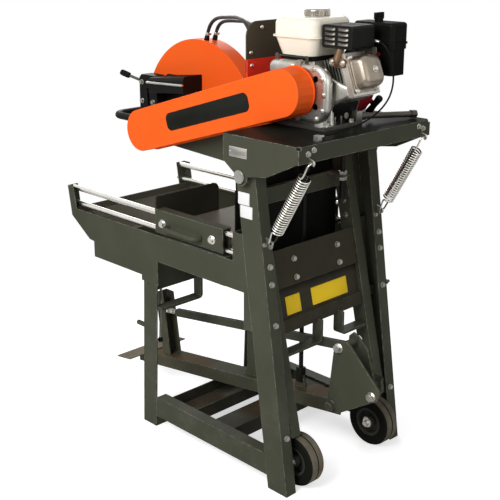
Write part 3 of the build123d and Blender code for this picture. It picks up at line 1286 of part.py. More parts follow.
def oil_tube():
    """Oil drain pipe from the crankcase across the deck, with a hexagon cap."""
    start, end = Vector(BLOCK_X0 + 8, *OIL_START), Vector(*OIL_END)
    pipe = rod(tuple(start), tuple(end), OIL_R)
    pipe += rod(tuple(start), tuple(start + (end - start) * 0.15), OIL_R + 2.5)
    seat = Plane(end, z_dir=end - start)
    pipe += seat * extrude(RegularPolygon(OIL_R + 2, 6, major_radius=False), amount=18)
    return pipe - box((BLOCK_X0, BLOCK_X1), ENGINE_FOOT_Y, (DECK_Z, BLOCK_TOP_Z))


def spring_lugs(low):
    """Eye plates for one end of the return springs; the lower pair on the legs, the upper on the deck."""
    if low:
        y, z = SPRING_LOW
        wall = [(rear_y(z + 16), z + 16), (rear_y(z - 16), z - 16)]
    else:
        y, z = SPRING_TOP
        wall = [(DECK_Y1, z + 14), (DECK_Y1, z - 1)]
    nose = [(y + 6, z - 7), (y + 9, z), (y + 6, z + 7)]
    x = around(SPRING_X, SPRING_WIRE_R)
    return pair(slab(outline(wall + nose), x) - rod_x(x, y, z, SPRING_WIRE_R + 1.4))


def biarc(p0, t0, p1, t1):
    """Two arcs that leave p0 along t0 and reach p1 along t1, meeting smoothly in space."""
    span, both = p1 - p0, t0 + t1
    a = both.dot(both) - 4
    b = -2 * span.dot(both)
    c = span.dot(span)
    d = (-b - math.sqrt(b * b - 4 * a * c)) / (2 * a)
    q0, q1 = p0 + t0 * d, p1 - t1 * d
    joint = (q0 + q1) * 0.5
    return [Edge.make_tangent_arc(p0, t0, joint), Edge.make_tangent_arc(joint, (q1 - q0).normalized(), p1)]


def spring_path(length):
    """Wire line of an extension spring along +Z: hook, smooth lead, turns, lead, hook."""
    pitch = (length - 2 * COIL_START) / SPRING_TURNS
    rise = pitch / (2 * math.pi * SPRING_R)
    end = 2 * SPRING_WIRE_R

    def coil(turn):
        angle = 2 * math.pi * turn
        point = Vector(SPRING_R * math.cos(angle), SPRING_R * math.sin(angle), COIL_START + pitch * turn)
        return point, Vector(-math.sin(angle), math.cos(angle), rise).normalized()

    up = Vector(0, 0, 1)
    low_tip, low_end = Vector(-HOOK_R, 0, HOOK_R), Vector(HOOK_R, 0, HOOK_R)
    top_start, top_tip = Vector(HOOK_R, 0, length - HOOK_R), Vector(-HOOK_R, 0, length - HOOK_R)
    edges = [Edge.make_line(low_tip + up * end, low_tip)]
    edges.append(Edge.make_three_point_arc(low_tip, Vector(0, 0, 0), low_end))
    edges += biarc(low_end, up, *coil(0))
    for half in range(2 * SPRING_TURNS):
        edges += biarc(*coil(half / 2), *coil((half + 1) / 2))
    edges += biarc(*coil(SPRING_TURNS), top_start, up)
    edges.append(Edge.make_three_point_arc(top_start, Vector(0, 0, length), top_tip))
    edges.append(Edge.make_line(top_tip, top_tip - up * end))
    return Wire(edges)


def self_gap(wire):
    """Least distance between turns of the wire's surface, on points along its line."""
    count = 40 * SPRING_TURNS
    points = [wire @ (n / count) for n in range(count + 1)]
    near, far = 30, 90
    least = min((points[i] - points[j]).length
                for i in range(count + 1) for j in range(i + near, min(i + far, count + 1)))
    return least - 2 * SPRING_WIRE_R


def return_spring():
    """Near extension spring from the leg's eye plate up to the deck's."""
    low = Vector(SPRING_X, *SPRING_LOW)
    top = Vector(SPRING_X, *SPRING_TOP)
    wire = spring_path((top - low).length)
    print(f"spring: least gap between turns {self_gap(wire):.2f} mm")
    section = Plane(wire @ 0, z_dir=wire % 0) * Circle(SPRING_WIRE_R)
    return Plane(low, x_dir=(1, 0, 0), z_dir=top - low) * sweep(section, path=wire)


def clamp_lever():
    """Cranked lever on the clamp block's front, ending in a black grip."""
    x, face, z = clamp_x(), BLOCK_Y[0], CLAMP_Z
    hub = rod((x, face - GAP, z), (x, face - 12, z), 2 * CLAMP_PIN_R)
    hub += rod((x, face - 7, z), (x, face + 25, z), CLAMP_PIN_R)
    elbow, tip = Vector(x + 22, face - 60, z + 20), Vector(x + 35, face - 89.4, z + 31)
    hub += rod((x, face - 6, z + 2), tuple(elbow), 5)
    return hub + rod(tuple(elbow), tuple(tip), 9)


def frame_bolts():
    """Zinc hardware of the stand: spring eyes, bolt heads, rail ends, stop nuts and the latch's rod."""
    parts = spring_lugs(True)
    lean = tuple(Vector(0, 1, RAKE_REAR).normalized())
    for z in LEG_BOLT_Z:
        parts += pair(bolt((LEG_BOLT_X, rear_y(z), z), lean))
    for x, z in ((SPRING_X - 11, SPRING_LOW[1] - 14), (SPRING_X + 11, SPRING_LOW[1] - 4)):
        parts += pair(bolt((x, rear_y(z), z), lean, 10, 7, 5))
    for z in WEB_BOLT_Z:
        parts += pair(bolt((UPRIGHT_X0, upright_y(z) - UPRIGHT_DEPTH / 2, z), (-1, 0, 0)))
    panel_lean = tuple(Vector(0, 1, RAKE_UPRIGHT).normalized())
    for z in PANEL_BOLT_Z:
        parts += pair(bolt((PANEL_BOLT_X, upright_y(z) - PANEL_LEVELS[0][1], z), panel_lean))
    for x, z in rail_points():
        parts.append(bolt((x, rail_ends()[1], z), (0, 1, 0), 12, 8, 5))
        parts.append(bolt((x, rail_ends()[0], z), (0, -1, 0), 12, 8, 5))
    parts.append(nut((STOP_X, STOP_Y, LINTEL_Z[1]), (0, 0, 1), 24, 12, STOP_R))
    parts.append(nut((STOP_X, STOP_Y, LINTEL_Z[1] - PLATE), (0, 0, -1), 24, 12, STOP_R))
    return parts + [latch_rod()]


def hose_manifold():
    """Block on the shield's front with a stub for each hose."""
    block = box(MANIFOLD_X, (SHIELD_Y - MANIFOLD_T, SHIELD_Y), MANIFOLD_Z)
    for hose in (HOSE_1, HOSE_2):
        x, y, z = hose[-1]
        block += rod((x, y, MANIFOLD_Z[1] - 2), (x, y, z), HOSE_R + 1)
    return block


def head_bolts():
    """Zinc hardware of the head: spring eyes, bolt heads, hose manifold, adjuster rod and cable clamp."""
    parts = spring_lugs(False) + [hose_manifold()]
    for x, z in ((SPRING_X - 17, DECK_Z - 14), (SPRING_X + 5, DECK_Z - 22)):
        parts += pair(bolt((x, DECK_Y1, z), (0, 1, 0), 11, 8, 5))
    foot_y = ENGINE_FOOT_Y[1] - 9
    for x in (BLOCK_X0 + 36, BLOCK_X1 - 18):
        parts.append(bolt((x, foot_y, DECK_Z + ENGINE_FOOT_H), (0, 0, 1), 14, 8, 8))
    for y in (BLOCK_Y[0] + 15, BLOCK_Y[1] - 18):
        for z in (BLOCK_Z[0] + 25, CLAMP_Z + 5):
            parts.append(bolt((GUARD_X1 + BLOCK_DEPTH, y, z), (1, 0, 0), 13, 9, 7))
    rod_r = 4.0
    x = GUARD_X1 + CHANNEL_DEPTH + rod_r
    parts.append(rod((x, CHANNEL_TOP[0][0] - 4, 1088), (x, CHANNEL_TOP[1][0] + 4, 1096), rod_r))
    x, y, z = CABLE[-1]
    parts.append(box((x, x + 16), around(y, 8), (DECK_Z, z + 6)))
    return parts


def solids(shape):
    """Every solid of a shape or a list of shapes."""
    items = shape if isinstance(shape, list) else [shape]
    return [solid for item in items for solid in item.solids()]


def write(name, shape):
    """Moves a sub-part to the centred frame and writes it as one STEP file."""
    group = Compound(children=[Pos(0, CENTRE_Y, 0) * solid for solid in solids(shape)], label=name)
    export_step(group, f"parts/{name}.step")
    box_ = group.bounding_box()
    print(f"{name:16s} solids {len(group.solids()):3d}  y {box_.min.Y:7.1f} {box_.max.Y:7.1f}  "
          f"x {box_.min.X:7.1f} {box_.max.X:7.1f}  z {box_.min.Z:7.1f} {box_.max.Z:7.1f}")


def build():
    """Every sub-part of the machine by node name."""
    near_wheel, near_tyre = wheel(), tyre()
    return {
        "front_legs": front_legs(), "rear_legs": rear_legs(), "rear_uprights": rear_uprights(),
        "base_beams": base_beams(), "floor_members": floor_members(), "side_panels": pair(side_panel()),
        "water_tray": water_tray(), "cross_plates": cross_plates(), "rear_panel": rear_panel(),
        "guide_rails": guide_rails(), "hanger_straps": hanger_straps(), "splash_curtain": splash_curtain(),
        "pivot_pins": pivot_pins(), "wheel_axles": wheel_axles(), "frame_bolts": frame_bolts(),
        "stop_rod": stop_rod(), "pedal_fulcrum": pedal_fulcrum(), "deck": deck(), "arm": arm(),
        "arbor_housing": arbor_housing(), "blade_guard": blade_guard(), "belt_guard": belt_guard(),
        "belt_backplate": belt_backplate(), "guard_clamp": guard_clamp(),
        "operator_handle": operator_handle(), "splash_shield": splash_shield(),
        "shield_flap": shield_flap(), "engine_block": engine_block(),
        "rocker_cover": rocker_cover(), "fan_shroud": fan_shroud(), "fuel_tank": fuel_tank(),
        "muffler": muffler(), "air_cleaner": air_cleaner(), "oil_tube": oil_tube(),
        "head_bolts": head_bolts(), "drive_belt": drive_belt(), "water_hose_1": tube(HOSE_1, HOSE_R),
        "water_hose_2": tube(HOSE_2, HOSE_R), "throttle_cable": tube(CABLE, CABLE_R),
        "return_springs": pair(return_spring()), "arbor": arbor(),
        "crank_pulley": crank_pulley(), "cart_table": cart_table(), "cart_sides": cart_sides(),
        "cart_fence": cart_fence(), "cart_glides": cart_glides(), "cart_handle": cart_handle(),
        "wheel_near": near_wheel, "tyre_near": near_tyre, "wheel_far": mirrored(near_wheel),
        "tyre_far": mirrored(near_tyre), "pedal_beam": pedal_beam(), "pedal_tread": pedal_tread(),
        "pedal_plates": pedal_plates(), "pedal_link": pedal_link(), "pedal_bolts": pedal_bolts(),
        "pull_rod": pull_rod(), "fuel_cap": fuel_cap(), "recoil_handle": recoil_handle(),
        "clamp_lever": clamp_lever(),
    }


os.makedirs("parts", exist_ok=True)
for node, shape in build().items():
    write(node, shape)
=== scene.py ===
# %% [markdown]
# # A masonry bench saw, dressed for its portrait
#
# The machine's solids come from the CAD step as a fixed frame. This lesson gives them paint, steel and
# rubber, and adds what solids do badly: hoses, wound springs, pressed louvres and small hardware. Lengths
# are metres, +Z is up, -Y is the operator's end and +X is the near side, with the belt cover.

import bpy
import numpy as np
from mathutils import Matrix, Vector


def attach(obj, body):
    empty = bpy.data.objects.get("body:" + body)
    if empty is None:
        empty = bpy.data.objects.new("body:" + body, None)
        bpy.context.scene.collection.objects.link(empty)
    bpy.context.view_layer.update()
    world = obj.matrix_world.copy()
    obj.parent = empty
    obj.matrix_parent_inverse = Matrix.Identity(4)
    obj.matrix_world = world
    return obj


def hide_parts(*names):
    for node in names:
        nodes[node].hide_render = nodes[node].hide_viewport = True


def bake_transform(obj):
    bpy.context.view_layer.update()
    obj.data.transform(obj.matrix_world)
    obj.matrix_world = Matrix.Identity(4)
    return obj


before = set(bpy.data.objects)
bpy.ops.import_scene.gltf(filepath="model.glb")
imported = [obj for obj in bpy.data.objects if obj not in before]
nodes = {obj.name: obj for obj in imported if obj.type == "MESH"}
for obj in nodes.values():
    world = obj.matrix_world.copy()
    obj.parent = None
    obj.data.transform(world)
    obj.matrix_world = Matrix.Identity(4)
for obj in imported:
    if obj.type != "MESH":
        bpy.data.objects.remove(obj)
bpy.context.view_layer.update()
scene = bpy.context.scene

# %% [markdown]
# ## From the drawing to the frame
#
# The machine was drawn in millimetres from a datum on the floor, in its middle plane, and then moved along
# Y until its box stood centred. Places below are written as on the drawing, so that they can be checked
# there, and one function moves them into the frame.

# %% Drawing places
DATUM_Y = 0.1174
NEAR, REAR, UP = np.eye(3)


def in_frame(points):
    """Points of the drawing, in millimetres from its datum, as metres in the frame."""
    return np.asarray(points, float) / 1000.0 + DATUM_Y * REAR


print("the drawing's datum lies at", in_frame((0, 0, 0)).tolist())

# %% [markdown]
# ## The camera
#
# The eye stands behind the engine end, above the deck. Its place and axes were fitted to long straight
# edges, such as the rails, the legs and the deck's rim. A camera could also be aimed at a point, but then
# its roll is left to chance. The optical axis misses the picture's middle a little, so the lens is shifted
# by that much.

# %% Camera
PIXELS, FOCAL_PX, AXIS_PX = 500.0, 972.95, (228.66, 230.20)
SENSOR_MM, FAR_CLIP = 36.0, 50.0
forward = Vector((-0.657185, -0.694666, -0.292486)).normalized()
right = Vector((-0.725440, 0.688270, -0.004683)).normalized()
up = right.cross(forward)
eye = Vector(in_frame((2092.45, 2056.15, 1577.40)))

lens = bpy.data.cameras.new("portrait_lens")
lens.sensor_width = SENSOR_MM
lens.lens = FOCAL_PX / PIXELS * lens.sensor_width
lens.shift_x = (PIXELS / 2 - AXIS_PX[0]) / PIXELS
lens.shift_y = (AXIS_PX[1] - PIXELS / 2) / PIXELS
lens.clip_end = FAR_CLIP
camera = bpy.data.objects.new("portrait", lens)
camera.matrix_world = Matrix.Translation(eye) @ Matrix((right, up, -forward)).transposed().to_4x4()
scene.collection.objects.link(camera)
scene.camera = camera
print(f"camera: {lens.lens:.1f} mm lens, shift {lens.shift_x:.3f}, {lens.shift_y:.3f}")

# %% [markdown]
# ## Wiring nodes
#
# The sky, the floor and every finish are trees of shader nodes. Linked one wire to a line they would hide
# what they do, so a small helper places a node, fills its inputs and gives back its outputs.


# %% Wiring helper
class Wiring:
    """Places shader nodes in one tree; each step gives the socket that carries its result."""

    def __init__(self, tree):
        self.tree = tree

    def feed(self, value, socket):
        """Feeds a socket from another one, or gives it a plain value."""
        if isinstance(value, bpy.types.NodeSocket):
            self.tree.links.new(value, socket)
        else:
            socket.default_value = value

    def place(self, kind, props=None, **inputs):
        """Adds a node with its properties; inputs go by name, or by number as at0, at1 and so on."""
        made = self.tree.nodes.new("ShaderNode" + kind)
        for key, value in (props or {}).items():
            setattr(made, key, value)
        for key, value in inputs.items():
            numbered = key.startswith("at") and key[2:].isdigit()
            self.feed(value, made.inputs[int(key[2:]) if numbered else key.replace("_", " ")])
        return made.outputs

    def math(self, operation, a, b=0.0, clamp=False):
        """One arithmetic step on two values or sockets."""
        return self.place("Math", {"operation": operation, "use_clamp": clamp}, at0=a, at1=b)[0]

    def times(self, a, b, clamp=False):
        """The product of two values or sockets."""
        return self.math("MULTIPLY", a, b, clamp)

    def dot(self, a, b):
        """How far one vector reaches along another."""
        return self.place("VectorMath", {"operation": "DOT_PRODUCT"}, at0=a, at1=b)["Value"]

    def ramp(self, value, low, high, to_low=0.0, to_high=1.0, kind="LINEAR"):
        """Maps a value from one range onto another, held at the ends."""
        return self.place("MapRange", {"interpolation_type": kind}, Value=value, From_Min=low, From_Max=high,
                          To_Min=to_low, To_Max=to_high)[0]

    def noise(self, spot, scale, detail):
        """A noise pattern between 0 and 1."""
        return self.place("TexNoise", Vector=spot, Scale=scale, Detail=detail)[0]

    def part(self, vector, letter):
        """One of a vector's three parts, by its letter."""
        return self.place("SeparateXYZ", Vector=vector)[letter]

    def facing(self):
        """The direction that a face looks in."""
        return self.place("NewGeometry")["Normal"]

    def on_piece(self):
        """The piece's own coordinates, which stay on it as it moves."""
        return self.place("TexCoord")["Object"]

    def mixed(self, mask, a, b):
        """Colour a where the mask is 0 and colour b where it is 1."""
        a, b = (c if isinstance(c, bpy.types.NodeSocket) else (*c, 1.0) for c in (a, b))
        return self.place("Mix", {"data_type": "RGBA"}, Factor=mask, at6=a, at7=b)[2]

    def either(self, share, a, b):
        """Shader a where the share is 0 and shader b where it is 1."""
        return self.place("MixShader", at0=share, at1=a, at2=b)[0]


def empty_wiring(owner):
    """The cleared node tree of a world or a material."""
    owner.use_nodes = True
    owner.node_tree.nodes.clear()
    return Wiring(owner.node_tree)


print("wiring helper ready")

# %% [markdown]
# ## Light, floor and background
#
# The machine stands on a white sweep. A broad key comes from the belt side, so faces turned to +X are
# bright, and a weaker fill reaches the engine end, whose faces are about half as bright. The world is white
# to the eye and to mirrors but lights only gently, so that the blacks stay deep.

# %% World
AMBIENT, COOL_WHITE, WHITE = 0.28, (0.98, 0.98, 1.0, 1.0), (1.0, 1.0, 1.0, 1.0)
scene.view_settings.view_transform = "Standard"
scene.world = bpy.data.worlds.new("studio")
sky = empty_wiring(scene.world)
rays = sky.place("LightPath")
mirrors = sky.math("MAXIMUM", rays["Is Glossy Ray"], rays["Is Transmission Ray"])
seen = sky.math("MAXIMUM", rays["Is Camera Ray"], mirrors)
gentle = sky.place("Background", Color=COOL_WHITE, Strength=AMBIENT)[0]
white = sky.place("Background", Color=WHITE, Strength=1.0)[0]
sky.place("OutputWorld", Surface=sky.either(seen, gentle, white))
print("world: white to the eye,", AMBIENT, "as light")


# %% Lamps
def soft_box(name, place, aim, size, watts):
    """A square area lamp at a place, turned to face a point."""
    lamp = bpy.data.lights.new(name, "AREA")
    lamp.size = size
    lamp.energy = watts
    box = bpy.data.objects.new(name, lamp)
    box.location = place
    box.rotation_euler = (Vector(aim) - Vector(place)).to_track_quat("-Z", "Y").to_euler()
    scene.collection.objects.link(box)
    return box


lamps = [
    soft_box("belt_side_key", (2.8, 0.45, 2.5), (0.0, 0.1, 0.8), 1.8, 88.0),
    soft_box("engine_end_fill", (0.6, 3.6, 1.6), (0.0, 0.2, 0.8), 2.2, 17.0),
    soft_box("operator_end_fill", (-2.2, -2.4, 2.6), (0.0, 0.0, 0.8), 2.0, 60.0),
]
print("lamps:", {box.name: box.data.energy for box in lamps})

# %% [markdown]
# The floor is one sheet of matte paper. Near the machine it takes light and shadow, lifted by a faint glow;
# two metres out it is plain white to the eye, so that no grey horizon shows in any view.

# %% Floor
HALF_FLOOR, SHADED_TO, WHITE_FROM = 12.0, 0.9, 2.1
PAPER, PAPER_GLOW = (0.86, 0.86, 0.86, 1.0), 0.60
corners = np.array([(-1, -1, 0), (1, -1, 0), (1, 1, 0), (-1, 1, 0)]) * HALF_FLOOR
floor_mesh = bpy.data.meshes.new("floor")
floor_mesh.from_pydata(corners.tolist(), [], [(0, 1, 2, 3)])
floor = bpy.data.objects.new("floor", floor_mesh)
scene.collection.objects.link(floor)

paper = bpy.data.materials.new("floor_paper")
sheet = empty_wiring(paper)
matte = sheet.place("BsdfDiffuse", Color=PAPER)[0]
glow = sheet.place("Emission", Strength=PAPER_GLOW)[0]
lifted = sheet.place("AddShader", at0=matte, at1=glow)[0]
plain = sheet.place("Emission", Strength=1.0)[0]
away = sheet.place("VectorMath", {"operation": "LENGTH"}, at0=sheet.on_piece())["Value"]
to_eye = sheet.either(sheet.ramp(away, SHADED_TO, WHITE_FROM, kind="SMOOTHSTEP"), lifted, plain)
by_ray = sheet.either(sheet.place("LightPath")["Is Camera Ray"], matte, to_eye)
sheet.place("OutputMaterial", Surface=by_ray)
floor_mesh.materials.append(paper)
print("floor: pale paper,", 2 * HALF_FLOOR, "m wide")

# %% [markdown]
# ## Shared effects
#
# Five effects recur: worn and softened edges, dust on level faces, the fine peel of sprayed paint, the
# drawn lines of ground steel, and dried slurry near the floor and the tray. They could be copied into each
# material, but then a change has to be made many times, so each is one node group with named sockets.


# %% Effect maker
def new_effect(name, inputs, outputs):
    """A node group with float inputs and named outputs; gives it, its wiring, its inputs and its outputs."""
    group = bpy.data.node_groups.new(name, "ShaderNodeTree")
    for socket, default in inputs.items():
        made = group.interface.new_socket(name=socket, in_out="INPUT", socket_type="NodeSocketFloat")
        made.default_value = default
    for socket, kind in outputs.items():
        group.interface.new_socket(name=socket, in_out="OUTPUT", socket_type="NodeSocket" + kind)
    given, result = group.nodes.new("NodeGroupInput").outputs, group.nodes.new("NodeGroupOutput").inputs
    print("effect:", name)
    return group, Wiring(group), given, result


# %% [markdown]
# Folded sheet has rounded corners that rub bare first. The bevel node rounds the shading normal near an edge;
# where it leaves the true one there is an edge, and noise breaks that line up into chips. Where a paint gives
# its chips a pale colour, they are also a painted highlight along the fold.

# %% Worn edges
EDGE_GAIN, CHIPS_FROM, CHIPS_FULL = 7.0, 0.36, 0.62
WORN_EDGES_AND_HIGHLIGHT, net, given, result = new_effect(
    "worn_edges_and_highlight", {"Radius": 0.002, "Scale": 60.0}, {"Normal": "Vector", "Edge": "Float"})
rounded = net.place("Bevel", {"samples": 4}, Radius=given["Radius"])[0]
lift = net.math("SUBTRACT", 1.0, net.dot(rounded, net.facing()))
spots = net.ramp(net.noise(net.on_piece(), given["Scale"], 4.0), CHIPS_FROM, CHIPS_FULL)
net.feed(rounded, result["Normal"])
net.feed(net.times(net.times(lift, EDGE_GAIN, True), spots), result["Edge"])

# %% [markdown]
# Dust lies where a face looks up and gathers in clouds. The upward part of the face's normal gives the
# first, a broad noise the second, and their product is the mask.

# %% Settled dust
SETTLED_DUST, net, given, result = new_effect(
    "settled_dust", {"Scale": 9.0, "Amount": 0.5}, {"Dust": "Float"})
lying = net.ramp(net.part(net.facing(), "Z"), 0.25, 1.0, 0.15, 1.0)
patches = net.ramp(net.noise(net.on_piece(), given["Scale"], 6.0), 0.38, 0.72)
net.feed(net.times(net.times(patches, lying), given["Amount"], True), result["Dust"])

# %% [markdown]
# Sprayed paint dries with a fine peel, and its tone drifts over a panel. One fine noise is the peel's
# height and one broad noise the drift.

# %% Paint peel
PAINT_PEEL, net, given, result = new_effect(
    "paint_peel", {"Scale": 420.0, "Drift Scale": 6.0}, {"Height": "Float", "Drift": "Float"})
spot = net.on_piece()
net.feed(net.noise(spot, given["Scale"], 2.0), result["Height"])
net.feed(net.ramp(net.noise(spot, given["Drift Scale"], 5.0), 0.3, 0.7), result["Drift"])

# %% [markdown]
# Ground bar and drawn wire carry fine lines along their length. Stretching the coordinates before a noise
# draws them: a large number squeezes the pattern along that axis, a small one pulls it out into lines.

# %% Drawn lines
DRAWN_LINES, net, given, result = new_effect(
    "drawn_lines", {"Along X": 900.0, "Along Y": 900.0, "Along Z": 900.0}, {"Line": "Float"})
pull = net.place("CombineXYZ", X=given["Along X"], Y=given["Along Y"], Z=given["Along Z"])[0]
pulled = net.place("VectorMath", {"operation": "MULTIPLY"}, at0=net.on_piece(), at1=pull)[0]
net.feed(net.noise(pulled, 1.0, 3.0), result["Line"])

# %% [markdown]
# A wet saw throws a thin slurry that dries pale, in small spots, thickest near the floor. The piece's
# height gives the fade, and a cell pattern gives the spots.

# %% Dried slurry
FILM_SCALE, FILM_DETAIL = 14.0, 7.0
DRIED_SLURRY, net, given, result = new_effect(
    "dried_slurry", {"Top": 0.5, "Scale": 130.0, "Amount": 0.4}, {"Slurry": "Float"})
spot = net.on_piece()
fade = net.math("SUBTRACT", 1.0, net.math("DIVIDE", net.part(spot, "Z"), given["Top"]), True)
cells = net.place("TexVoronoi", Vector=spot, Scale=given["Scale"])["Distance"]
film = net.noise(spot, FILM_SCALE, FILM_DETAIL)
drops = net.times(net.ramp(cells, 0.16, 0.34, 1.0, 0.0), net.ramp(film, 0.42, 0.62))
thrown = net.math("ADD", drops, net.ramp(film, 0.50, 0.78, 0.0, 0.6), True)
net.feed(net.times(thrown, net.times(fade, given["Amount"]), True), result["Slurry"])

# %% [markdown]
# ## Finishes
#
# Painted sheet covers most of the machine, so one recipe serves every paint: a base colour that drifts, chips
# along edges, dust and slurry on top, and a peel in the gloss. Pale chips also paint the highlight along
# folded edges, and two options paint shade: black on faces that look up, and a black band under a fold. The
# surface shader stays in the material itself, and what is the same all over is set on its sockets.


# %% Recipe helpers
def new_finish(name, gloss):
    """An empty material with its specular level set; gives it, its wiring and its surface shader's inputs."""
    material = bpy.data.materials.new(name)
    material.use_nodes = True
    surface = material.node_tree.nodes["Principled BSDF"].inputs
    surface["Specular IOR Level"].default_value = gloss
    print("finish:", name)
    return material, Wiring(material.node_tree), surface


def use_effect(net, effect, **inputs):
    """Places a shared effect in a material with this material's values."""
    return net.place("Group", {"node_tree": effect}, **inputs)


def relief(net, surface, height, normal, strength):
    """Gives the surface a bump from a height, on top of the softened edges."""
    bump = net.place("Bump", Strength=strength, Distance=0.001, Height=height, Normal=normal)[0]
    net.feed(bump, surface["Normal"])


def dulled_gloss(net, surface, shine, matt, gain):
    """Makes the surface rougher where it is matt, by a gain on the mask."""
    net.feed(net.math("ADD", shine, net.times(matt, gain), True), surface["Roughness"])


print("effects to place:", ", ".join(group.name for group in bpy.data.node_groups))

# %% Paint recipe
# Black for painted shadow on faces that look up and under a fold, and the pale colour of dried slurry.
TOP_SHADE_BLACK, FOLD_SHADE_BLACK, DRY_SLURRY = (0.006, 0.006, 0.005), (0.003, 0.003, 0.002), (0.26, 0.24, 0.20)
FOLD_SHADE_EDGE = 0.002


def sprayed_paint(name, colour, drift, edge_colour, rough, dust=0.15, slurry=0.0, coat=0.15, chip_and_highlight=0.7, oil=0.0,
                  grime=(0.20, 0.185, 0.15), fold_shade=None):
    """Sprayed paint: drifting colour, chips along edges that show what is under and, where that colour is
    pale, a painted highlight, dust, slurry and a thin glossy coat; the top-face amount paints shadow black on
    faces that look up, and two fold heights bound a band of painted shadow under a fold."""
    material, net, surface = new_finish(name, 0.0)
    edges = use_effect(net, WORN_EDGES_AND_HIGHLIGHT, Radius=0.0026, Scale=55.0)
    peel = use_effect(net, PAINT_PEEL, Scale=520.0, Drift_Scale=7.0)
    dusty = use_effect(net, SETTLED_DUST, Scale=9.0, Amount=dust)["Dust"]
    muddy = use_effect(net, DRIED_SLURRY, Top=0.75, Amount=slurry)["Slurry"]
    chips_and_highlight = net.times(edges["Edge"], chip_and_highlight, True)
    worn_highlit_and_shaded = net.mixed(chips_and_highlight, net.mixed(peel["Drift"], colour, drift), edge_colour)
    # Painted shadow: faces that look up turn black.
    if oil:
        worn_highlit_and_shaded = net.mixed(net.ramp(net.part(net.facing(), "Z"), 0.75, 0.95, 0.0, oil), worn_highlit_and_shaded, TOP_SHADE_BLACK)
    # Painted shadow under a fold: black thickens from the lower height up to the fold and stops just above
    # it.
    if fold_shade:
        height = net.part(net.on_piece(), "Z")
        below = net.ramp(height, fold_shade[1], fold_shade[1] + FOLD_SHADE_EDGE, 1.0, 0.0)
        worn_highlit_and_shaded = net.mixed(net.times(net.ramp(height, *fold_shade), below), worn_highlit_and_shaded, FOLD_SHADE_BLACK)
    net.feed(net.mixed(muddy, net.mixed(dusty, worn_highlit_and_shaded, grime), DRY_SLURRY), surface["Base Color"])
    matt = net.math("MAXIMUM", net.math("MAXIMUM", dusty, muddy), chips_and_highlight)
    dulled_gloss(net, surface, net.ramp(peel["Drift"], 0.0, 1.0, rough - 0.05, rough + 0.05), matt, 0.3)
    relief(net, surface, peel["Height"], edges["Normal"], 0.06)
    net.feed(net.ramp(matt, 0.0, 1.0, coat, 0.2 * coat), surface["Coat Weight"])
    surface["Coat Roughness"].default_value = rough
    return material


# The fold's black band is painted shadow under the fold.
print("paint recipe ready; dirt in a fold stops within", 1000 * FOLD_SHADE_EDGE, "mm")

# %% Paints
OLIVE, OLIVE_DRIFT, PRIMER_AND_HIGHLIGHT = (0.056, 0.059, 0.040), (0.067, 0.070, 0.048), (0.46, 0.46, 0.41)
# The olive paints' pale edge colour is bare primer along worn edges and also a painted highlight on the
# folds.
STAND = sprayed_paint("stand_paint", OLIVE, OLIVE_DRIFT, PRIMER_AND_HIGHLIGHT, 0.34, dust=0.10, slurry=0.18, coat=0.16)
TRODDEN = sprayed_paint("trodden_paint", OLIVE, OLIVE_DRIFT, PRIMER_AND_HIGHLIGHT, 0.36, dust=0.9, slurry=0.18, coat=0.12,
                        grime=(0.15, 0.080, 0.040))
SHADED = sprayed_paint("shaded_paint", (0.030, 0.031, 0.023), (0.040, 0.040, 0.029), (0.22, 0.22, 0.19), 0.36,
                       dust=0.35, slurry=0.15, coat=0.12, grime=(0.11, 0.060, 0.032))
# The deck: black on its faces that look up is painted shadow under the engine and the guard, and its pale
# chips are also a painted highlight along its edges.
DECK_TOP_SHADE = sprayed_paint("deck_top_shade_paint", OLIVE, OLIVE_DRIFT, (0.60, 0.60, 0.55), 0.30, dust=0.05, coat=0.16,
                      oil=0.9, chip_and_highlight=0.9)
# A lighter copy of the olive paint for the tray and the cart's table: dried slurry and dust, and painted
# light on faces that the lamps leave in shade.
SLURRY_AND_LIGHT = sprayed_paint("slurry_and_light_paint", (0.100, 0.098, 0.075), (0.130, 0.122, 0.092), (0.28, 0.28, 0.25),
                         0.36, dust=0.30, slurry=0.3, coat=0.16)
# The rear panel's fold gets a painted shadow below it.
BAND = sprayed_paint("shaded_band_paint", (0.036, 0.034, 0.022), (0.050, 0.042, 0.026), (0.20, 0.18, 0.15),
                     0.40, dust=0.12, slurry=0.2, fold_shade=(0.560, 0.588))
ORANGE = sprayed_paint("orange_paint", (0.93, 0.130, 0.016), (0.97, 0.118, 0.013), (0.50, 0.16, 0.06), 0.28,
                       dust=0.02, coat=0.25, chip_and_highlight=0.3)
# A brighter, redder copy of the orange for the splash shield: painted light on a face the lamps leave in
# shade, and its red tone a painted reflection of the red fan shroud.
SHIELD = sprayed_paint("shield_paint", (1.0, 0.052, 0.024), (0.95, 0.046, 0.020), (0.40, 0.10, 0.05), 0.32,
                       dust=0.05, coat=0.2, chip_and_highlight=0.3)
BLACK = sprayed_paint("black_paint", (0.006, 0.006, 0.0055), (0.011, 0.011, 0.010), (0.10, 0.10, 0.095), 0.34,
                      dust=0.1, coat=0.25)
RED = sprayed_paint("red_paint", (0.22, 0.008, 0.014), (0.28, 0.012, 0.018), (0.2, 0.1, 0.1), 0.25, dust=0.1,
                    coat=0.4)
CREAM = sprayed_paint("cream_paint", (0.92, 0.85, 0.68), (0.95, 0.89, 0.75), (0.5, 0.5, 0.46), 0.15,
                      dust=0.03, coat=0.5, chip_and_highlight=0.2)
TREAD = sprayed_paint("worn_tread", (0.10, 0.085, 0.060), (0.20, 0.17, 0.12), (0.32, 0.30, 0.26), 0.6,
                      dust=0.7, slurry=0.6)
PLATE_WHITE = sprayed_paint("white_plate", (0.78, 0.78, 0.76), (0.84, 0.84, 0.82), (0.6, 0.6, 0.6), 0.3,
                            dust=0.0)
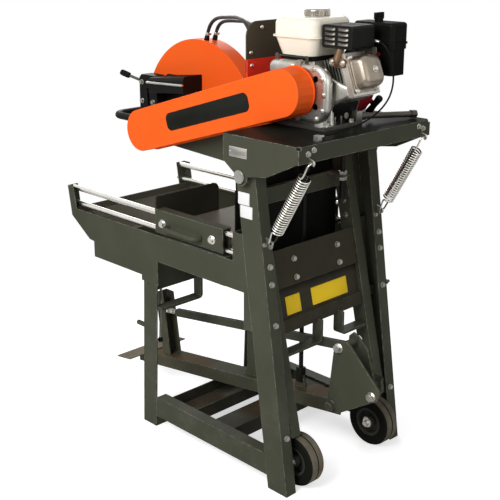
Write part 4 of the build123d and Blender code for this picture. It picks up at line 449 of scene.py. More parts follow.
PLATE_YELLOW = sprayed_paint("yellow_plate", (1.0, 0.68, 0.03), (0.92, 0.62, 0.03), (0.4, 0.3, 0.1), 0.3,
                             dust=0.05)
PLATE_BLACK = sprayed_paint("black_plate", (0.010, 0.010, 0.008), (0.016, 0.016, 0.013), (0.1, 0.1, 0.1), 0.3,
                            dust=0.05)

# %% [markdown]
# Bare metal mirrors the white sweep, so its base colour is nearly what the eye sees. Drawn lines vary its
# gloss, a stain drifts over it, and a cast skin adds grain. Painted shade darkens the casting between the
# cylinder's fins and on the engine's foot; it could be separate pieces, but a mask along the cylinder's axis,
# and one by height at the foot, puts it on the casting itself. The spring wire gets painted shade on its side
# that faces into the coil.

# %% Metal recipe
LEAN = np.radians(20.0)
CRANK = np.array((226.0, 1156.0))
CYLINDER_WAY = np.array((0.0, np.cos(LEAN), np.sin(LEAN)))
COIL_SHADE, ENGINE_SHADE_DARK, METAL_DUST = (0.012, 0.011, 0.009), (0.022, 0.019, 0.015), (0.20, 0.18, 0.15)
FINS_BEGIN, FINS_END, FOOT_SHADE = (0.070, 0.080), (0.128, 0.134), (1.064, 1.090)


def engine_shade_mask(net):
    """A mask of painted shade on the engine's casting: 1 along the cylinder where the fins stand, and near
    the engine's foot.
    """
    spot = net.on_piece()
    crank = float(in_frame((0, *CRANK)) @ CYLINDER_WAY)
    distance = net.math("SUBTRACT", net.dot(spot, tuple(CYLINDER_WAY)), crank)
    fins = net.times(net.ramp(distance, *FINS_BEGIN), net.ramp(distance, *FINS_END, 1.0, 0.0))
    return net.math("MAXIMUM", fins, net.ramp(net.part(spot, "Z"), *FOOT_SHADE, 1.0, 0.0))


def bare_metal(name, colour, stain, rough, lines=(900.0, 900.0, 900.0), grain=0.0, metallic=1.0, dust=0.08,
               engine_shade=0.0, inner=0.0):
    """Bare metal: drawn lines in the gloss, a stain and some dust; grain adds a cast skin, the fins-and-foot
    amount a painted shade between the cylinder's fins and on the engine's foot, and inner a painted shade on
    faces that a piece marks as its inside."""
    material, net, surface = new_finish(name, 0.4)
    edges = use_effect(net, WORN_EDGES_AND_HIGHLIGHT, Radius=0.0012, Scale=80.0)
    line = use_effect(net, DRAWN_LINES, Along_X=lines[0], Along_Y=lines[1], Along_Z=lines[2])["Line"]
    peel = use_effect(net, PAINT_PEEL, Scale=700.0, Drift_Scale=16.0)
    dusty = use_effect(net, SETTLED_DUST, Scale=14.0, Amount=dust)["Dust"]
    base = net.mixed(peel["Drift"], colour, stain)
    if inner:
        inside = net.place("Attribute", {"attribute_name": "inside"})["Fac"]
        base = net.mixed(net.ramp(inside, 0.35, 0.70, 0.0, inner), base, COIL_SHADE)
    if engine_shade:
        base = net.mixed(net.times(engine_shade_mask(net), engine_shade), base, ENGINE_SHADE_DARK)
    net.feed(net.mixed(dusty, base, METAL_DUST), surface["Base Color"])
    dulled_gloss(net, surface, net.ramp(line, 0.25, 0.75, rough - 0.10, rough + 0.10), dusty, 0.4)
    height = net.math("ADD", net.times(line, 0.4), net.times(peel["Height"], grain))
    relief(net, surface, height, edges["Normal"], 0.10 + 0.2 * grain)
    surface["Metallic"].default_value = metallic
    return material


print(f"metal recipe ready; the cylinder rises at {np.degrees(LEAN):.0f} degrees")

# %% Metals
RAIL = bare_metal("ground_bar", (0.88, 0.86, 0.80), (0.76, 0.74, 0.68), 0.24, lines=(1500.0, 12.0, 1500.0))
ZINC = bare_metal("zinc_plate", (0.74, 0.72, 0.66), (0.52, 0.50, 0.45), 0.28)
BOLT = bare_metal("dull_bolt", (0.50, 0.49, 0.43), (0.28, 0.27, 0.23), 0.38, metallic=0.9, dust=0.25)
# On the spring wire, inner paints shade on the side that faces into the coil.
CHROME = bare_metal("spring_chrome", (0.80, 0.78, 0.71), (0.62, 0.60, 0.53), 0.20, inner=0.95)
CAP = bare_metal("cap_chrome", (0.52, 0.48, 0.42), (0.30, 0.27, 0.22), 0.16)
# The cast alloy's dark between the fins and on its foot is painted shade.
CAST = bare_metal("cast_alloy", (0.60, 0.585, 0.53), (0.36, 0.335, 0.28), 0.36, grain=1.0, metallic=0.9,
                  dust=0.1, engine_shade=0.75)
CASTING = bare_metal("clean_casting", (0.74, 0.74, 0.69), (0.42, 0.40, 0.35), 0.28, grain=0.7, metallic=0.92)
COVER = bare_metal("pressed_cover", (0.36, 0.31, 0.25), (0.25, 0.21, 0.16), 0.32, metallic=0.9)
BURNT = bare_metal("burnt_pipe", (0.17, 0.10, 0.05), (0.09, 0.055, 0.03), 0.5, grain=0.6, metallic=0.6)
LOUVRE = bare_metal("louvre_steel", (0.17, 0.155, 0.135), (0.10, 0.092, 0.080), 0.36, metallic=0.9)
DARK_STEEL = bare_metal("dark_steel", (0.10, 0.092, 0.078), (0.05, 0.047, 0.04), 0.45, grain=0.4,
                        metallic=0.7, dust=0.15)

# %% [markdown]
# Rubber and moulded plastic have a fine pebbled skin and scatter little light from their surface. The tyres
# roll on dusty concrete, so their treads, the faces turned away from the axle's direction, are dry and
# brown.

# %% Rubber and plastic recipe
RUBBER_DUST = (0.18, 0.165, 0.14)


def moulded(name, colour, drift, rough, gloss=0.0, coat=0.1, texture=600.0, depth=0.12, dust=0.08):
    """Moulded rubber or plastic: a fine pebbled skin, slight drift in tone and dust."""
    material, net, surface = new_finish(name, gloss)
    edges = use_effect(net, WORN_EDGES_AND_HIGHLIGHT, Radius=0.0015, Scale=90.0)
    peel = use_effect(net, PAINT_PEEL, Scale=texture, Drift_Scale=12.0)
    dusty = use_effect(net, SETTLED_DUST, Scale=11.0, Amount=dust)["Dust"]
    net.feed(net.mixed(dusty, net.mixed(peel["Drift"], colour, drift), RUBBER_DUST), surface["Base Color"])
    dulled_gloss(net, surface, net.ramp(peel["Drift"], 0.0, 1.0, rough - 0.07, rough + 0.07), dusty, 0.3)
    relief(net, surface, peel["Height"], edges["Normal"], depth)
    surface["Coat Weight"].default_value = coat
    surface["Coat Roughness"].default_value = rough - 0.1
    return material


def rolled_rubber(name, wall, tread):
    """Tyre rubber: the side walls dark, the tread brown with dust where a face looks away from the axle."""
    material, net, surface = new_finish(name, 0.0)
    peel = use_effect(net, PAINT_PEEL, Scale=260.0, Drift_Scale=26.0)
    edges = use_effect(net, WORN_EDGES_AND_HIGHLIGHT, Radius=0.002, Scale=60.0)
    sideways = net.math("ABSOLUTE", net.part(net.facing(), "X"))
    rolling = net.ramp(sideways, 0.35, 0.75, 1.0, 0.0)
    dirt = net.times(rolling, net.ramp(peel["Drift"], 0.0, 1.0, 0.55, 1.0))
    net.feed(net.mixed(dirt, wall, tread), surface["Base Color"])
    net.feed(net.ramp(dirt, 0.0, 1.0, 0.58, 0.85), surface["Roughness"])
    relief(net, surface, peel["Height"], edges["Normal"], 0.3)
    return material


print("rubber and plastic recipes ready; the dust's colour is", RUBBER_DUST)

# %% Rubbers and plastics
RUBBER = moulded("black_rubber", (0.008, 0.008, 0.007), (0.014, 0.014, 0.012), 0.62, coat=0.05)
FLAP = moulded("flap_rubber", (0.072, 0.062, 0.042), (0.088, 0.076, 0.052), 0.6, coat=0.05)
HOSE = moulded("hose_rubber", (0.016, 0.014, 0.012), (0.028, 0.023, 0.018), 0.40, gloss=0.3, texture=900.0)
TYRE = rolled_rubber("solid_tyre", (0.012, 0.012, 0.010), (0.20, 0.175, 0.13))
HUB = moulded("wheel_hub", (0.030, 0.030, 0.026), (0.050, 0.049, 0.042), 0.5, dust=0.3)
PLASTIC = moulded("black_plastic", (0.0045, 0.0045, 0.004), (0.008, 0.008, 0.007), 0.40, coat=0.12, dust=0.03)
SIGNAL_RED = moulded("red_plastic", (0.45, 0.012, 0.012), (0.38, 0.010, 0.010), 0.35, gloss=0.3)
ROPE = moulded("braided_rope", (0.20, 0.19, 0.17), (0.30, 0.28, 0.25), 0.8, texture=300.0, depth=0.4)

# %% [markdown]
# ## Dressing the solids
#
# Most solids have the right shape, so they keep it and only take a finish. The table lists them by finish,
# which makes a forgotten one easy to see: the count printed below has to be all of them.

# %% Dress the solids
DRESS = {
    STAND: "front_legs rear_legs rear_uprights base_beams side_panels cross_plates hanger_straps arm "
           "pedal_plates pedal_link cart_sides cart_handle pedal_fulcrum arbor_housing",
    TRODDEN: "pedal_beam",
    SHADED: "floor_members cart_fence",
    DECK_TOP_SHADE: "deck",
    SLURRY_AND_LIGHT: "water_tray cart_table",
    BAND: "rear_panel",
    ORANGE: "blade_guard belt_guard belt_backplate",
    SHIELD: "splash_shield",
    BLACK: "guard_clamp operator_handle muffler stop_rod pull_rod",
    RED: "fan_shroud",
    CREAM: "fuel_tank",
    TREAD: "pedal_tread",
    RAIL: "guide_rails cart_glides arbor crank_pulley",
    ZINC: "pivot_pins wheel_axles head_bolts pedal_bolts",
    BOLT: "frame_bolts",
    CAP: "fuel_cap",
    CHROME: "return_springs",
    CAST: "engine_block",
    COVER: "rocker_cover",
    DARK_STEEL: "oil_tube clamp_lever",
    RUBBER: "splash_curtain drive_belt",
    FLAP: "shield_flap",
    HOSE: "water_hose_1 water_hose_2",
    TYRE: "tyre_near tyre_far",
    HUB: "wheel_near wheel_far",
    PLASTIC: "air_cleaner recoil_handle throttle_cable",
}
for finish, names in DRESS.items():
    for name in names.split():
        nodes[name].data.materials.clear()
        nodes[name].data.materials.append(finish)
print("dressed:", sum(len(names.split()) for names in DRESS.values()), "of", len(nodes), "solids")

# %% [markdown]
# ## Water hoses and throttle cable
#
# Two black hoses rise from the blade guard, arch over to the splash flap and run down behind it to a block
# on the shield. A thin cable leaves the carburettor, hangs in one loop beside the cylinder and lies along
# the deck to a clamp. They are swept in the CAD too, but straight runs and arcs read as bent wire. A NURBS
# line with the route's points as its control points bends evenly, as a hose does.


# %% Cord maker
def cord_line(name, route, radius, finish):
    """A smooth cord: a NURBS line with the route's points as its control points, and a round section."""
    line = bpy.data.curves.new(name, "CURVE")
    line.dimensions = "3D"
    line.bevel_depth = radius
    line.bevel_resolution = 5
    line.resolution_u = 8
    line.use_fill_caps = True
    line.materials.append(finish)
    spline = line.splines.new("NURBS")
    spline.points.add(len(route) - 1)
    spline.points.foreach_set("co", np.column_stack((in_frame(route), np.ones(len(route)))).ravel())
    spline.order_u = 3
    spline.use_endpoint_u = True
    piece = bpy.data.objects.new(name, line)
    scene.collection.objects.link(piece)
    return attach(piece, "head")


print("cord maker ready")

# %% Routes
HOSE_R, CABLE_R = 0.006, 0.0025
HOSE_1 = [(-104, -364, 1250), (-104, -358, 1272), (-102, -342, 1294), (-96, -314, 1310), (-82, -272, 1318),
          (-58, -214, 1323), (-30, -158, 1328), (-2, -106, 1331), (22, -66, 1329), (34, -36, 1316),
          (40, -14, 1290), (42, 0, 1254), (42, 7, 1212), (42, 8, 1170), (42, 8, 1130)]
HOSE_2 = [(-134, -356, 1250), (-134, -350, 1270), (-131, -334, 1288), (-124, -308, 1300), (-110, -266, 1306),
          (-88, -206, 1310), (-60, -150, 1314), (-32, -98, 1317), (-6, -58, 1314), (6, -32, 1300),
          (14, -12, 1272), (18, 0, 1236), (18, 7, 1197), (18, 8, 1162), (18, 8, 1130)]
CABLE = [(-52, 376, 1292), (-52, 398, 1290), (-53, 418, 1274), (-57, 430, 1244), (-62, 436, 1206),
         (-63, 434, 1168), (-52, 428, 1134), (-24, 420, 1106), (16, 410, 1084), (68, 398, 1070),
         (124, 388, 1062), (180, 386, 1060)]
for route in (HOSE_1, HOSE_2, CABLE):
    print(f"route of {len(route)} points, {np.linalg.norm(np.diff(route, axis=0), axis=1).sum():.0f} mm long")

# %% Hoses and cable
# Each row: the piece, the solid it stands for, route, radius, finish, slot, length, how it lies.
CORDS = [
    ("water_hose_line_1", "water_hose_1", HOSE_1, HOSE_R, HOSE, "black_rubber", 0.590, "loose"),
    ("water_hose_line_2", "water_hose_2", HOSE_2, HOSE_R, HOSE, "black_rubber", 0.563, "loose"),
    ("throttle_cable_line", "throttle_cable", CABLE, CABLE_R, PLASTIC, "black_plastic", 0.446, "hanging"),
]
for name, solid, route, radius, finish, slot, length, lay in CORDS:
    cord = cord_line(name, route, radius, finish)
    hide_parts(solid)
    print(name, "leaves its fitting at", in_frame(route[0]).round(3).tolist())

# %% [markdown]
# ## Surfaces from grids
#
# Every other new piece is a surface worked out with numpy, mostly in one of two ways: a ring carried along
# a line, for wire and lead, or a ring that swells and shrinks along an axis, for turned hardware and
# plates. Both give a grid of points, one row to a ring, and one function turns grids into a closed mesh.
# Its printed volume is positive only when the faces look outwards, so the number is also a check.


# %% Grid to mesh
def unit(vectors):
    """Vectors brought to length one."""
    return vectors / np.linalg.norm(vectors, axis=-1, keepdims=True)


def ring_faces(rows, columns, first):
    """Four-sided faces between neighbouring rings; every ring closes on itself."""
    index = first + np.arange(rows * columns).reshape(rows, columns)
    here, beside = index[:-1], np.roll(index[:-1], -1, axis=1)
    return np.stack((here, beside, np.roll(index[1:], -1, axis=1), index[1:]), axis=-1).reshape(-1, 4)


def enclosed(points, quads, caps):
    """Volume inside the faces: a sixth of the summed triple products of each face's fan of triangles."""
    fans = [(quads[:, 0], quads[:, 1], quads[:, 2]), (quads[:, 0], quads[:, 2], quads[:, 3])]
    fans += [(cap[:1].repeat(len(cap) - 2), cap[1:-1], cap[2:]) for cap in caps]
    return sum((points[a] * np.cross(points[b], points[c])).sum() for a, b, c in fans) / 6.0


def skinned(name, grids, finish, body, crease=40.0):
    """One piece from grids of rings: quads between rings and a flat cap on each grid's first and last one."""
    points = np.concatenate([grid.reshape(-1, 3) for grid in grids])
    sizes = np.array([grid.shape[:2] for grid in grids])
    starts = np.concatenate(([0], np.cumsum(sizes.prod(axis=1))[:-1]))
    quads = np.concatenate([ring_faces(m, n, s) for (m, n), s in zip(sizes, starts)])
    caps = [np.arange(s, s + n)[::-1] for (m, n), s in zip(sizes, starts)]
    caps += [np.arange(s + (m - 1) * n, s + m * n) for (m, n), s in zip(sizes, starts)]
    mesh = bpy.data.meshes.new(name)
    mesh.from_pydata(points.tolist(), [], quads.tolist() + [cap.tolist() for cap in caps])
    mesh.polygons.foreach_set("use_smooth", np.ones(len(mesh.polygons), bool))
    mesh.set_sharp_from_angle(angle=np.radians(crease))
    mesh.materials.append(finish)
    piece = bpy.data.objects.new(name, mesh)
    scene.collection.objects.link(piece)
    if body:
        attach(piece, body)
    print(f"{name}: {len(mesh.polygons)} faces, {enclosed(points, quads, caps) * 1e6:.2f} cm3")
    return piece


print("3 rings of 4 points have", len(ring_faces(3, 4, 0)), "faces between them")


# %% Rings
def circle(radius, sides):
    """A round ring: radius times the cosine and the sine of equal steps."""
    step = np.linspace(0.0, 2 * np.pi, sides, endpoint=False)
    return radius * np.column_stack((np.cos(step), np.sin(step)))


def rounded_block(half_a, half_b, corner, sides=24):
    """A rectangular ring with round corners: a corner's centre plus a circle's point, by quadrant."""
    step = (np.arange(sides) + 0.5) * 2 * np.pi / sides
    turn = np.column_stack((np.cos(step), np.sin(step)))
    return np.sign(turn) * (np.array((half_a, half_b)) - corner) + corner * turn


print("half sizes of 10 and 5 mm span", np.ptp(rounded_block(0.010, 0.005, 0.002), axis=0).round(4).tolist())


# %% Two ways to make a grid
def carried(line, ring, inward):
    """A ring carried along a line: the ring's first number runs along the inward direction, its second square
    to that and to the line."""
    along = unit(np.gradient(line, axis=0))
    inward = unit(inward - (inward * along).sum(-1, keepdims=True) * along)
    third = np.cross(along, inward)
    return line[:, None] + ring[:, :1] * inward[:, None] + ring[:, 1:] * third[:, None]


def swelling(start, axis, rings, hint=UP):
    """Rings stacked along an axis: each is a height and an outline, whose two numbers run square to the axis,
    the first as near to the hint as it can be."""
    axis = unit(np.asarray(axis, float))
    first = hint - hint @ axis * axis
    first = unit(first if np.linalg.norm(first) > 1e-6 else NEAR - axis[0] * axis)
    second = np.cross(axis, first)
    return np.stack([start + height * axis + outline[:, :1] * first + outline[:, 1:] * second
                     for height, outline in rings])


print("rows, points and numbers:", carried(np.outer(range(3), UP), circle(1.0, 8), NEAR).shape)


# %% Forms made by swelling
def turned(start, axis, profile, sides=24):
    """A turned form: circles, each a height and a radius."""
    return swelling(start, axis, [(height, circle(radius, sides)) for height, radius in profile])


def stacked(start, axis, profile, sides=24, hint=UP):
    """Rounded rectangles along an axis, each a height, two half sizes and a corner."""
    return swelling(start, axis, [(height, rounded_block(*sizes, sides)) for height, *sizes in profile], hint)


def drawn_in(start, axis, half_a, half_b, corner, steps, sides=24, hint=UP):
    """A rounded rectangle that draws in: each step is a height and how much smaller the outline is there."""
    profile = [(height, half_a - by, half_b - by, corner - by) for height, by in steps]
    return stacked(start, axis, profile, sides, hint)


def plate(start, axis, half_a, half_b, corner, thick, hint=UP, edge=0.0006):
    """A plate from its back to its face, drawn in by a small rounded edge."""
    steps = [(0.0, 0.0), (thick - edge, 0.0), (thick - 0.3 * edge, 0.3 * edge), (thick, edge)]
    return drawn_in(start, axis, half_a, half_b, corner, steps, hint=hint)


def rivet(start, axis, radius, rise):
    """A domed head: circles whose radius and height follow the cosine and the sine of a quarter turn."""
    turns = np.linspace(0.0, 0.47 * np.pi, 6)
    return turned(start, axis, [(rise * np.sin(t), radius * np.cos(t)) for t in turns], 16)


def hex_head(start, axis, across, rise):
    """A bolt head on its washer: round rings for the washer, then six-cornered ones with a chamfered top."""
    r = across / np.sqrt(3.0)
    return [turned(start, axis, [(0.0, 0.78 * across), (0.12 * rise, 0.78 * across)], 18),
            turned(start, axis, [(0.10 * rise, r), (0.88 * rise, r), (rise, 0.86 * r)], 6)]


print("grid makers ready")

# %% [markdown]
# ## Return springs
#
# Two long extension springs pull the head up. In life each is one wire, wound close and hooked at both ends.
# A screw modifier on a circle would leave out the hooks, so the wire's whole line is worked out: a half
# circle for the hook, a lead that eases into the coil, the coil, and the same again at the top. The lower
# hook sits on the leg's eye and the upper one on the deck.

# %% Spring wire line
SPRING_R, WIRE_R, HOOK_R = 0.0165, 0.0025, 0.012
COIL_START, TURNS, FREE_END = 0.048, 24, 0.038
STEPS_PER_TURN, LEAD_REACH, LEAD_STEPS = 22, 0.022, 9


def eased(start, leaving, end, arriving, reach, steps):
    """A smooth lead between two points that leaves and arrives along given ways: a cubic in one number."""
    t = np.linspace(0.0, 1.0, steps)[1:-1, None]
    pull_a, pull_b = reach * np.asarray(leaving), reach * np.asarray(arriving)
    return ((2 * t**3 - 3 * t**2 + 1) * start + (t**3 - 2 * t**2 + t) * pull_a
            + (3 * t**2 - 2 * t**3) * end + (t**3 - t**2) * pull_b)


def spring_line(length):
    """The wire's line along +Z and its inward directions: hook, lead, coil, lead and hook. The coil's angle
    grows evenly with its height. A hook is a half circle in the plane of X and Z, and the lower one's free
    end runs straight up beside the lead."""
    bend = np.linspace(np.pi, 2 * np.pi, 17)
    drop = np.linspace(FREE_END, HOOK_R, 7)[:-1]
    free_end = np.column_stack((0 * drop - HOOK_R, 0 * drop, drop))
    low_bend = np.column_stack((HOOK_R * np.cos(bend), 0 * bend, HOOK_R + HOOK_R * np.sin(bend)))
    low_hook = np.concatenate((free_end, low_bend))
    top_hook = np.column_stack((-HOOK_R * np.cos(bend), 0 * bend, length - HOOK_R - HOOK_R * np.sin(bend)))
    angle = np.linspace(0.0, 2 * np.pi * TURNS, STEPS_PER_TURN * TURNS + 1)
    rise = COIL_START + (length - 2 * COIL_START) * angle / angle[-1]
    coil = np.column_stack((SPRING_R * np.cos(angle), SPRING_R * np.sin(angle), rise))
    winding = (0.0, 1.0, 0.08)
    low_lead = eased(low_hook[-1], UP, coil[0], winding, LEAD_REACH, LEAD_STEPS)
    top_lead = eased(coil[-1], winding, top_hook[0], UP, LEAD_REACH, LEAD_STEPS)
    line = np.concatenate((low_hook, low_lead, coil, top_lead, top_hook))
    hooks = [np.cross(unit(np.gradient(hook, axis=0)), REAR) for hook in (low_hook, top_hook)]
    leads = [np.tile(-NEAR, (len(lead), 1)) for lead in (low_lead, top_lead)]
    return line, np.concatenate((hooks[0], leads[0], -coil * (1.0, 1.0, 0.0), leads[1], hooks[1]))


print("spring:", TURNS, "turns of", 2000 * WIRE_R, "mm wire")

# %% Wind both springs
SPRING_LOW, SPRING_TOP, SPRING_SIDES = (273.0, 752.0), (419.0, 1004.0), (("near", 245.0), ("far", -245.0))
for side, x in SPRING_SIDES:
    low, top = in_frame((x, *SPRING_LOW)), in_frame((x, *SPRING_TOP))
    axis = unit(top - low)
    spring_frame = np.stack((NEAR, np.cross(axis, NEAR), axis))
    wire, inward = spring_line(np.linalg.norm(top - low))
    grid = carried(low + wire @ spring_frame, circle(WIRE_R, 10), inward @ spring_frame)
    spring = skinned(f"return_spring_{side}", [grid], CHROME, None, crease=60.0)
    # The wire's side that faces into the coil takes painted shade through this attribute.
    inside = spring.data.attributes.new("inside", "FLOAT", "POINT")
    facing_in = 0.5 + 0.5 * circle(1.0, grid.shape[1])[:, 0]
    inside.data.foreach_set("value", np.tile(facing_in, len(grid)))
    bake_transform(spring)
    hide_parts("return_springs")

# %% [markdown]
# ## Hose and cable fittings
#
# A worm clip holds each hose on its nipple: a steel band, here a short turned ring a little wider than the
# hose, with a screw housing, a rounded block. A rubber sleeve covers the nipple on the guard, and the cable
# ends in turned ferrules.

# %% Worm clips, sleeves and ferrules
CLIP_TURN, CLIP_BOX = (0.0, 1.0, 0.3), (0.0045, 0.006, 0.0015, 0.0055)
BOX_ALONG, BOX_OUT = 0.0085, 0.0062
CLIP_BAND = [(0.004, 0.0066), (0.0045, 0.0072), (0.0125, 0.0072), (0.0130, 0.0066)]
SLEEVE = [(-0.016, 0.0076), (-0.015, 0.0086), (-0.003, 0.0082), (0.002, 0.0074), (0.003, 0.0066)]
FERRULE = [(-0.003, 0.0042), (0.008, 0.0042), (0.009, 0.0036), (0.014, 0.0036), (0.015, 0.003)]


def cord_ends(route):
    """A route's two ends, each a place and the direction that leads into the cord."""
    places = in_frame(route)
    return [(places[end], unit(places[after] - places[end])) for end, after in ((0, 1), (-1, -2))]


clips = []
for foot, way in cord_ends(HOSE_1) + cord_ends(HOSE_2):
    out = unit(np.cross(way, CLIP_TURN))
    box_foot = foot + BOX_ALONG * way + BOX_OUT * out
    clips += [turned(foot, way, CLIP_BAND), plate(box_foot, out, *CLIP_BOX, hint=way)]
skinned("hose_clips", clips, ZINC, "head")
sleeves = [turned(*cord_ends(route)[0], SLEEVE) for route in (HOSE_1, HOSE_2)]
skinned("nipple_sleeves", sleeves, RUBBER, "head")
ferrules = [turned(foot, way, FERRULE, 18) for foot, way in cord_ends(CABLE)]
skinned("cable_ferrules", ferrules, ZINC, "head")

# %% [markdown]
# ## The engine's small parts
#
# A small engine is read by its details. The silencer's guard has pressed louvres that catch the light, each
# a hood over its slot. They could be cut and bent in the solid, but its sheet is thick, so each is its own
# surface: an arc that leans out from the slot's upper edge, as deep as a hump along the slot, so that both
# ends close on the plate.

# %% Silencer louvres
MUFFLER_X, MUFFLER_Y, MUFFLER_Z = 52.0, 274.0, 1276.0
LOUVRE_LONG, LOUVRE_TALL, LOUVRE_DEEP = 38.0, 8.0, 5.0
FIRST_Y, FIRST_Z, STEP_Y, STEP_Z = MUFFLER_Y + 10, MUFFLER_Z + 8.5, 46.0, 13.0
INNER_SHARE, INNER_BACK = 0.62, 0.06


def louvre(y0, z0):
    """A hood: along the slot its depth is a rounded hump; across it, an arc from the upper edge outwards."""
    t = np.linspace(0.0, 1.0, 13)
    hump = np.clip(np.sin(np.pi * t), 0.0, 1.0) ** 0.5
    s = np.linspace(0.0, 1.0, 7)
    outer = np.column_stack((np.sin(0.5 * np.pi * s), 1.0 - s))
    inner = np.column_stack((INNER_SHARE * np.sin(0.5 * np.pi * s[::-1]) - INNER_BACK, 1.0 - s[::-1]))
    ring = np.concatenate((outer, inner))
    x = MUFFLER_X + LOUVRE_DEEP * hump[:, None] * ring[None, :, 0]
    y = np.broadcast_to((y0 + LOUVRE_LONG * t)[:, None], x.shape)
    z = np.broadcast_to((z0 + LOUVRE_TALL * ring[:, 1])[None], x.shape)
    return in_frame(np.stack((x, y, z), axis=-1))


hoods = [louvre(FIRST_Y + STEP_Y * column, FIRST_Z + STEP_Z * row) for column in range(2) for row in range(4)]
skinned("silencer_louvres", hoods, LOUVRE, "head", crease=50.0)

# %% [markdown]
# Flange bolts hold the valve cover, the starter housing, the case's near side and the exhaust port. Each is
# a washer and a chamfered hexagon on the casting that carries it, and one list of places serves them all.

# %% Engine bolts
SHROUD_X, SCREW_CIRCLE, CASE_X, PORT_X, CYLINDER_X = -145.0, 84.0, 93.0, 54.0, -8.0
COVER_SEAT, COVER_CROWN, COVER_BOLTS_X, COVER_BOLTS_OUT = 158.0, 200.0, (-50.0, 34.0), (-46.0, 46.0)
CASE_BOLTS = [(316, 1108), (320, 1152), (314, 1194), (284, 1219), (226, 1220), (296, 1084)]
PORT_BOLTS = [(313, 1238), (351, 1238)]
SCREW_TURNS = np.radians((35.0, 125.0, 215.0, 305.0))
# A bolt's size is its width across the flats and its rise.
SCREW, COVER_BOLT, CASE_BOLT, CROWN_BOLT = (0.008, 0.005), (0.010, 0.006), (0.011, 0.006), (0.012, 0.007)


def on_cylinder(x, distance, side):
    """A point on the leaning cylinder: a distance along its axis from the crank, and a step square to it."""
    axis = np.array((np.cos(LEAN), np.sin(LEAN)))
    square = np.array((-np.sin(LEAN), np.cos(LEAN)))
    return in_frame((x, *(CRANK + distance * axis + side * square)))


bolts = [(on_cylinder(x, COVER_SEAT, side), CYLINDER_WAY, *COVER_BOLT)
         for x in COVER_BOLTS_X for side in COVER_BOLTS_OUT]
bolts += [(on_cylinder(CYLINDER_X, COVER_CROWN, 0.0), CYLINDER_WAY, *CROWN_BOLT)]
screws = CRANK + SCREW_CIRCLE * np.column_stack((np.cos(SCREW_TURNS), np.sin(SCREW_TURNS)))
bolts += [(in_frame((SHROUD_X, *at)), -NEAR, *SCREW) for at in screws]
bolts += [(in_frame((CASE_X, *at)), NEAR, *CASE_BOLT) for at in CASE_BOLTS]
bolts += [(in_frame((PORT_X, *at)), NEAR, *CASE_BOLT) for at in PORT_BOLTS]
bolt_grids = [grid for bolt in bolts for grid in hex_head(*bolt)]
skinned("engine_bolts", bolt_grids, ZINC, "head", crease=25.0)

# %% [markdown]
# The plug's rubber boot stands on the cylinder head, and its lead arches over beside the tank and down to
# the case. The boot is turned; the lead is a ring carried along a cubic line. Behind it a red tap lever
# sits on the filter box, and a thin governor rod with two levers runs along the near side under the tank.

# %% Plug boot, lead, tap and governor rod
BOOT = [(0.0, 0.0075), (0.006, 0.0085), (0.020, 0.0080), (0.024, 0.0065), (0.028, 0.0030)]
BOOT_TIP, LEAD_R, LEAD_PULL, LEAD_ARRIVES = 0.026, 0.0034, 0.10, (0.0, -0.2, -1.0)
ROD_R, ROD_X, ROD_Z, ROD_ENDS, LEVER_X, LEVER_Z = 0.0016, 82.0, 1247.0, (132.0, 246.0), 79.0, 1238.0
boot_foot, boot_way = in_frame((-59, 341, 1262)), np.array((0.0, 0.25, 1.0))
lead_start, lead_end = boot_foot + BOOT_TIP * unit(boot_way), in_frame((-62, 258, 1237))
lead_line = eased(lead_start, boot_way, lead_end, LEAD_ARRIVES, LEAD_PULL, 26)
boot_and_lead = [turned(boot_foot, boot_way, BOOT, 20), carried(lead_line, circle(LEAD_R, 12), NEAR)]
skinned("plug_boot_and_lead", boot_and_lead, PLASTIC, "head")
tap_lean = REAR / 2 + UP
tap = plate(in_frame((-80.5, 362, 1256)), NEAR, 0.005, 0.012, 0.004, 0.005, hint=tap_lean)
skinned("fuel_tap_lever", [tap], SIGNAL_RED, "head")
rod_line = np.linspace(*(in_frame((ROD_X, y, ROD_Z)) for y in ROD_ENDS), 12)
levers = [plate(in_frame((LEVER_X, y, LEVER_Z)), NEAR, 0.014, 0.006, 0.005, 0.003) for y in ROD_ENDS]
skinned("governor_rod", [carried(rod_line, circle(ROD_R, 10), NEAR), *levers], DARK_STEEL, "head")

# %% [markdown]
# The starter's rope lies wound in its housing and shows only when the grip is pulled. Its rings stand square
# to the pull, from the ferrule's mouth to the middle of the grip, and spread evenly between them.

# %% Starter rope
PULL, ROPE_R = np.array((0.0, 0.8486, 0.5291)), 0.0022
mouth, grip_middle = in_frame((-156, 292.3, 1100.4)), in_frame((-156, 299.5, 1094.3))
spread = np.linspace(0.0, 1.0, 24)[:, None]
rope_ring = circle(ROPE_R, 12)
rope = (mouth + spread * (grip_middle - mouth))[:, None] + (
    rope_ring[:, :1] * NEAR + rope_ring[:, 1:] * np.cross(PULL, NEAR))
starter_rope = skinned("starter_rope", [rope], ROPE, None)
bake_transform(starter_rope)

# %% [markdown]
# The engine's castings are softer than blocks. A skirt of smooth metal runs from the crankcase to the head
# over the lower half of the fins, a rounded housing carries the output shaft, two columns carry the case on
# its foot, and two lumps stand out over the housing; a black plate in the case's rear recess is painted shade
# there. They could be cut into the solids, but they only dress them, so each is a stack of outlines.

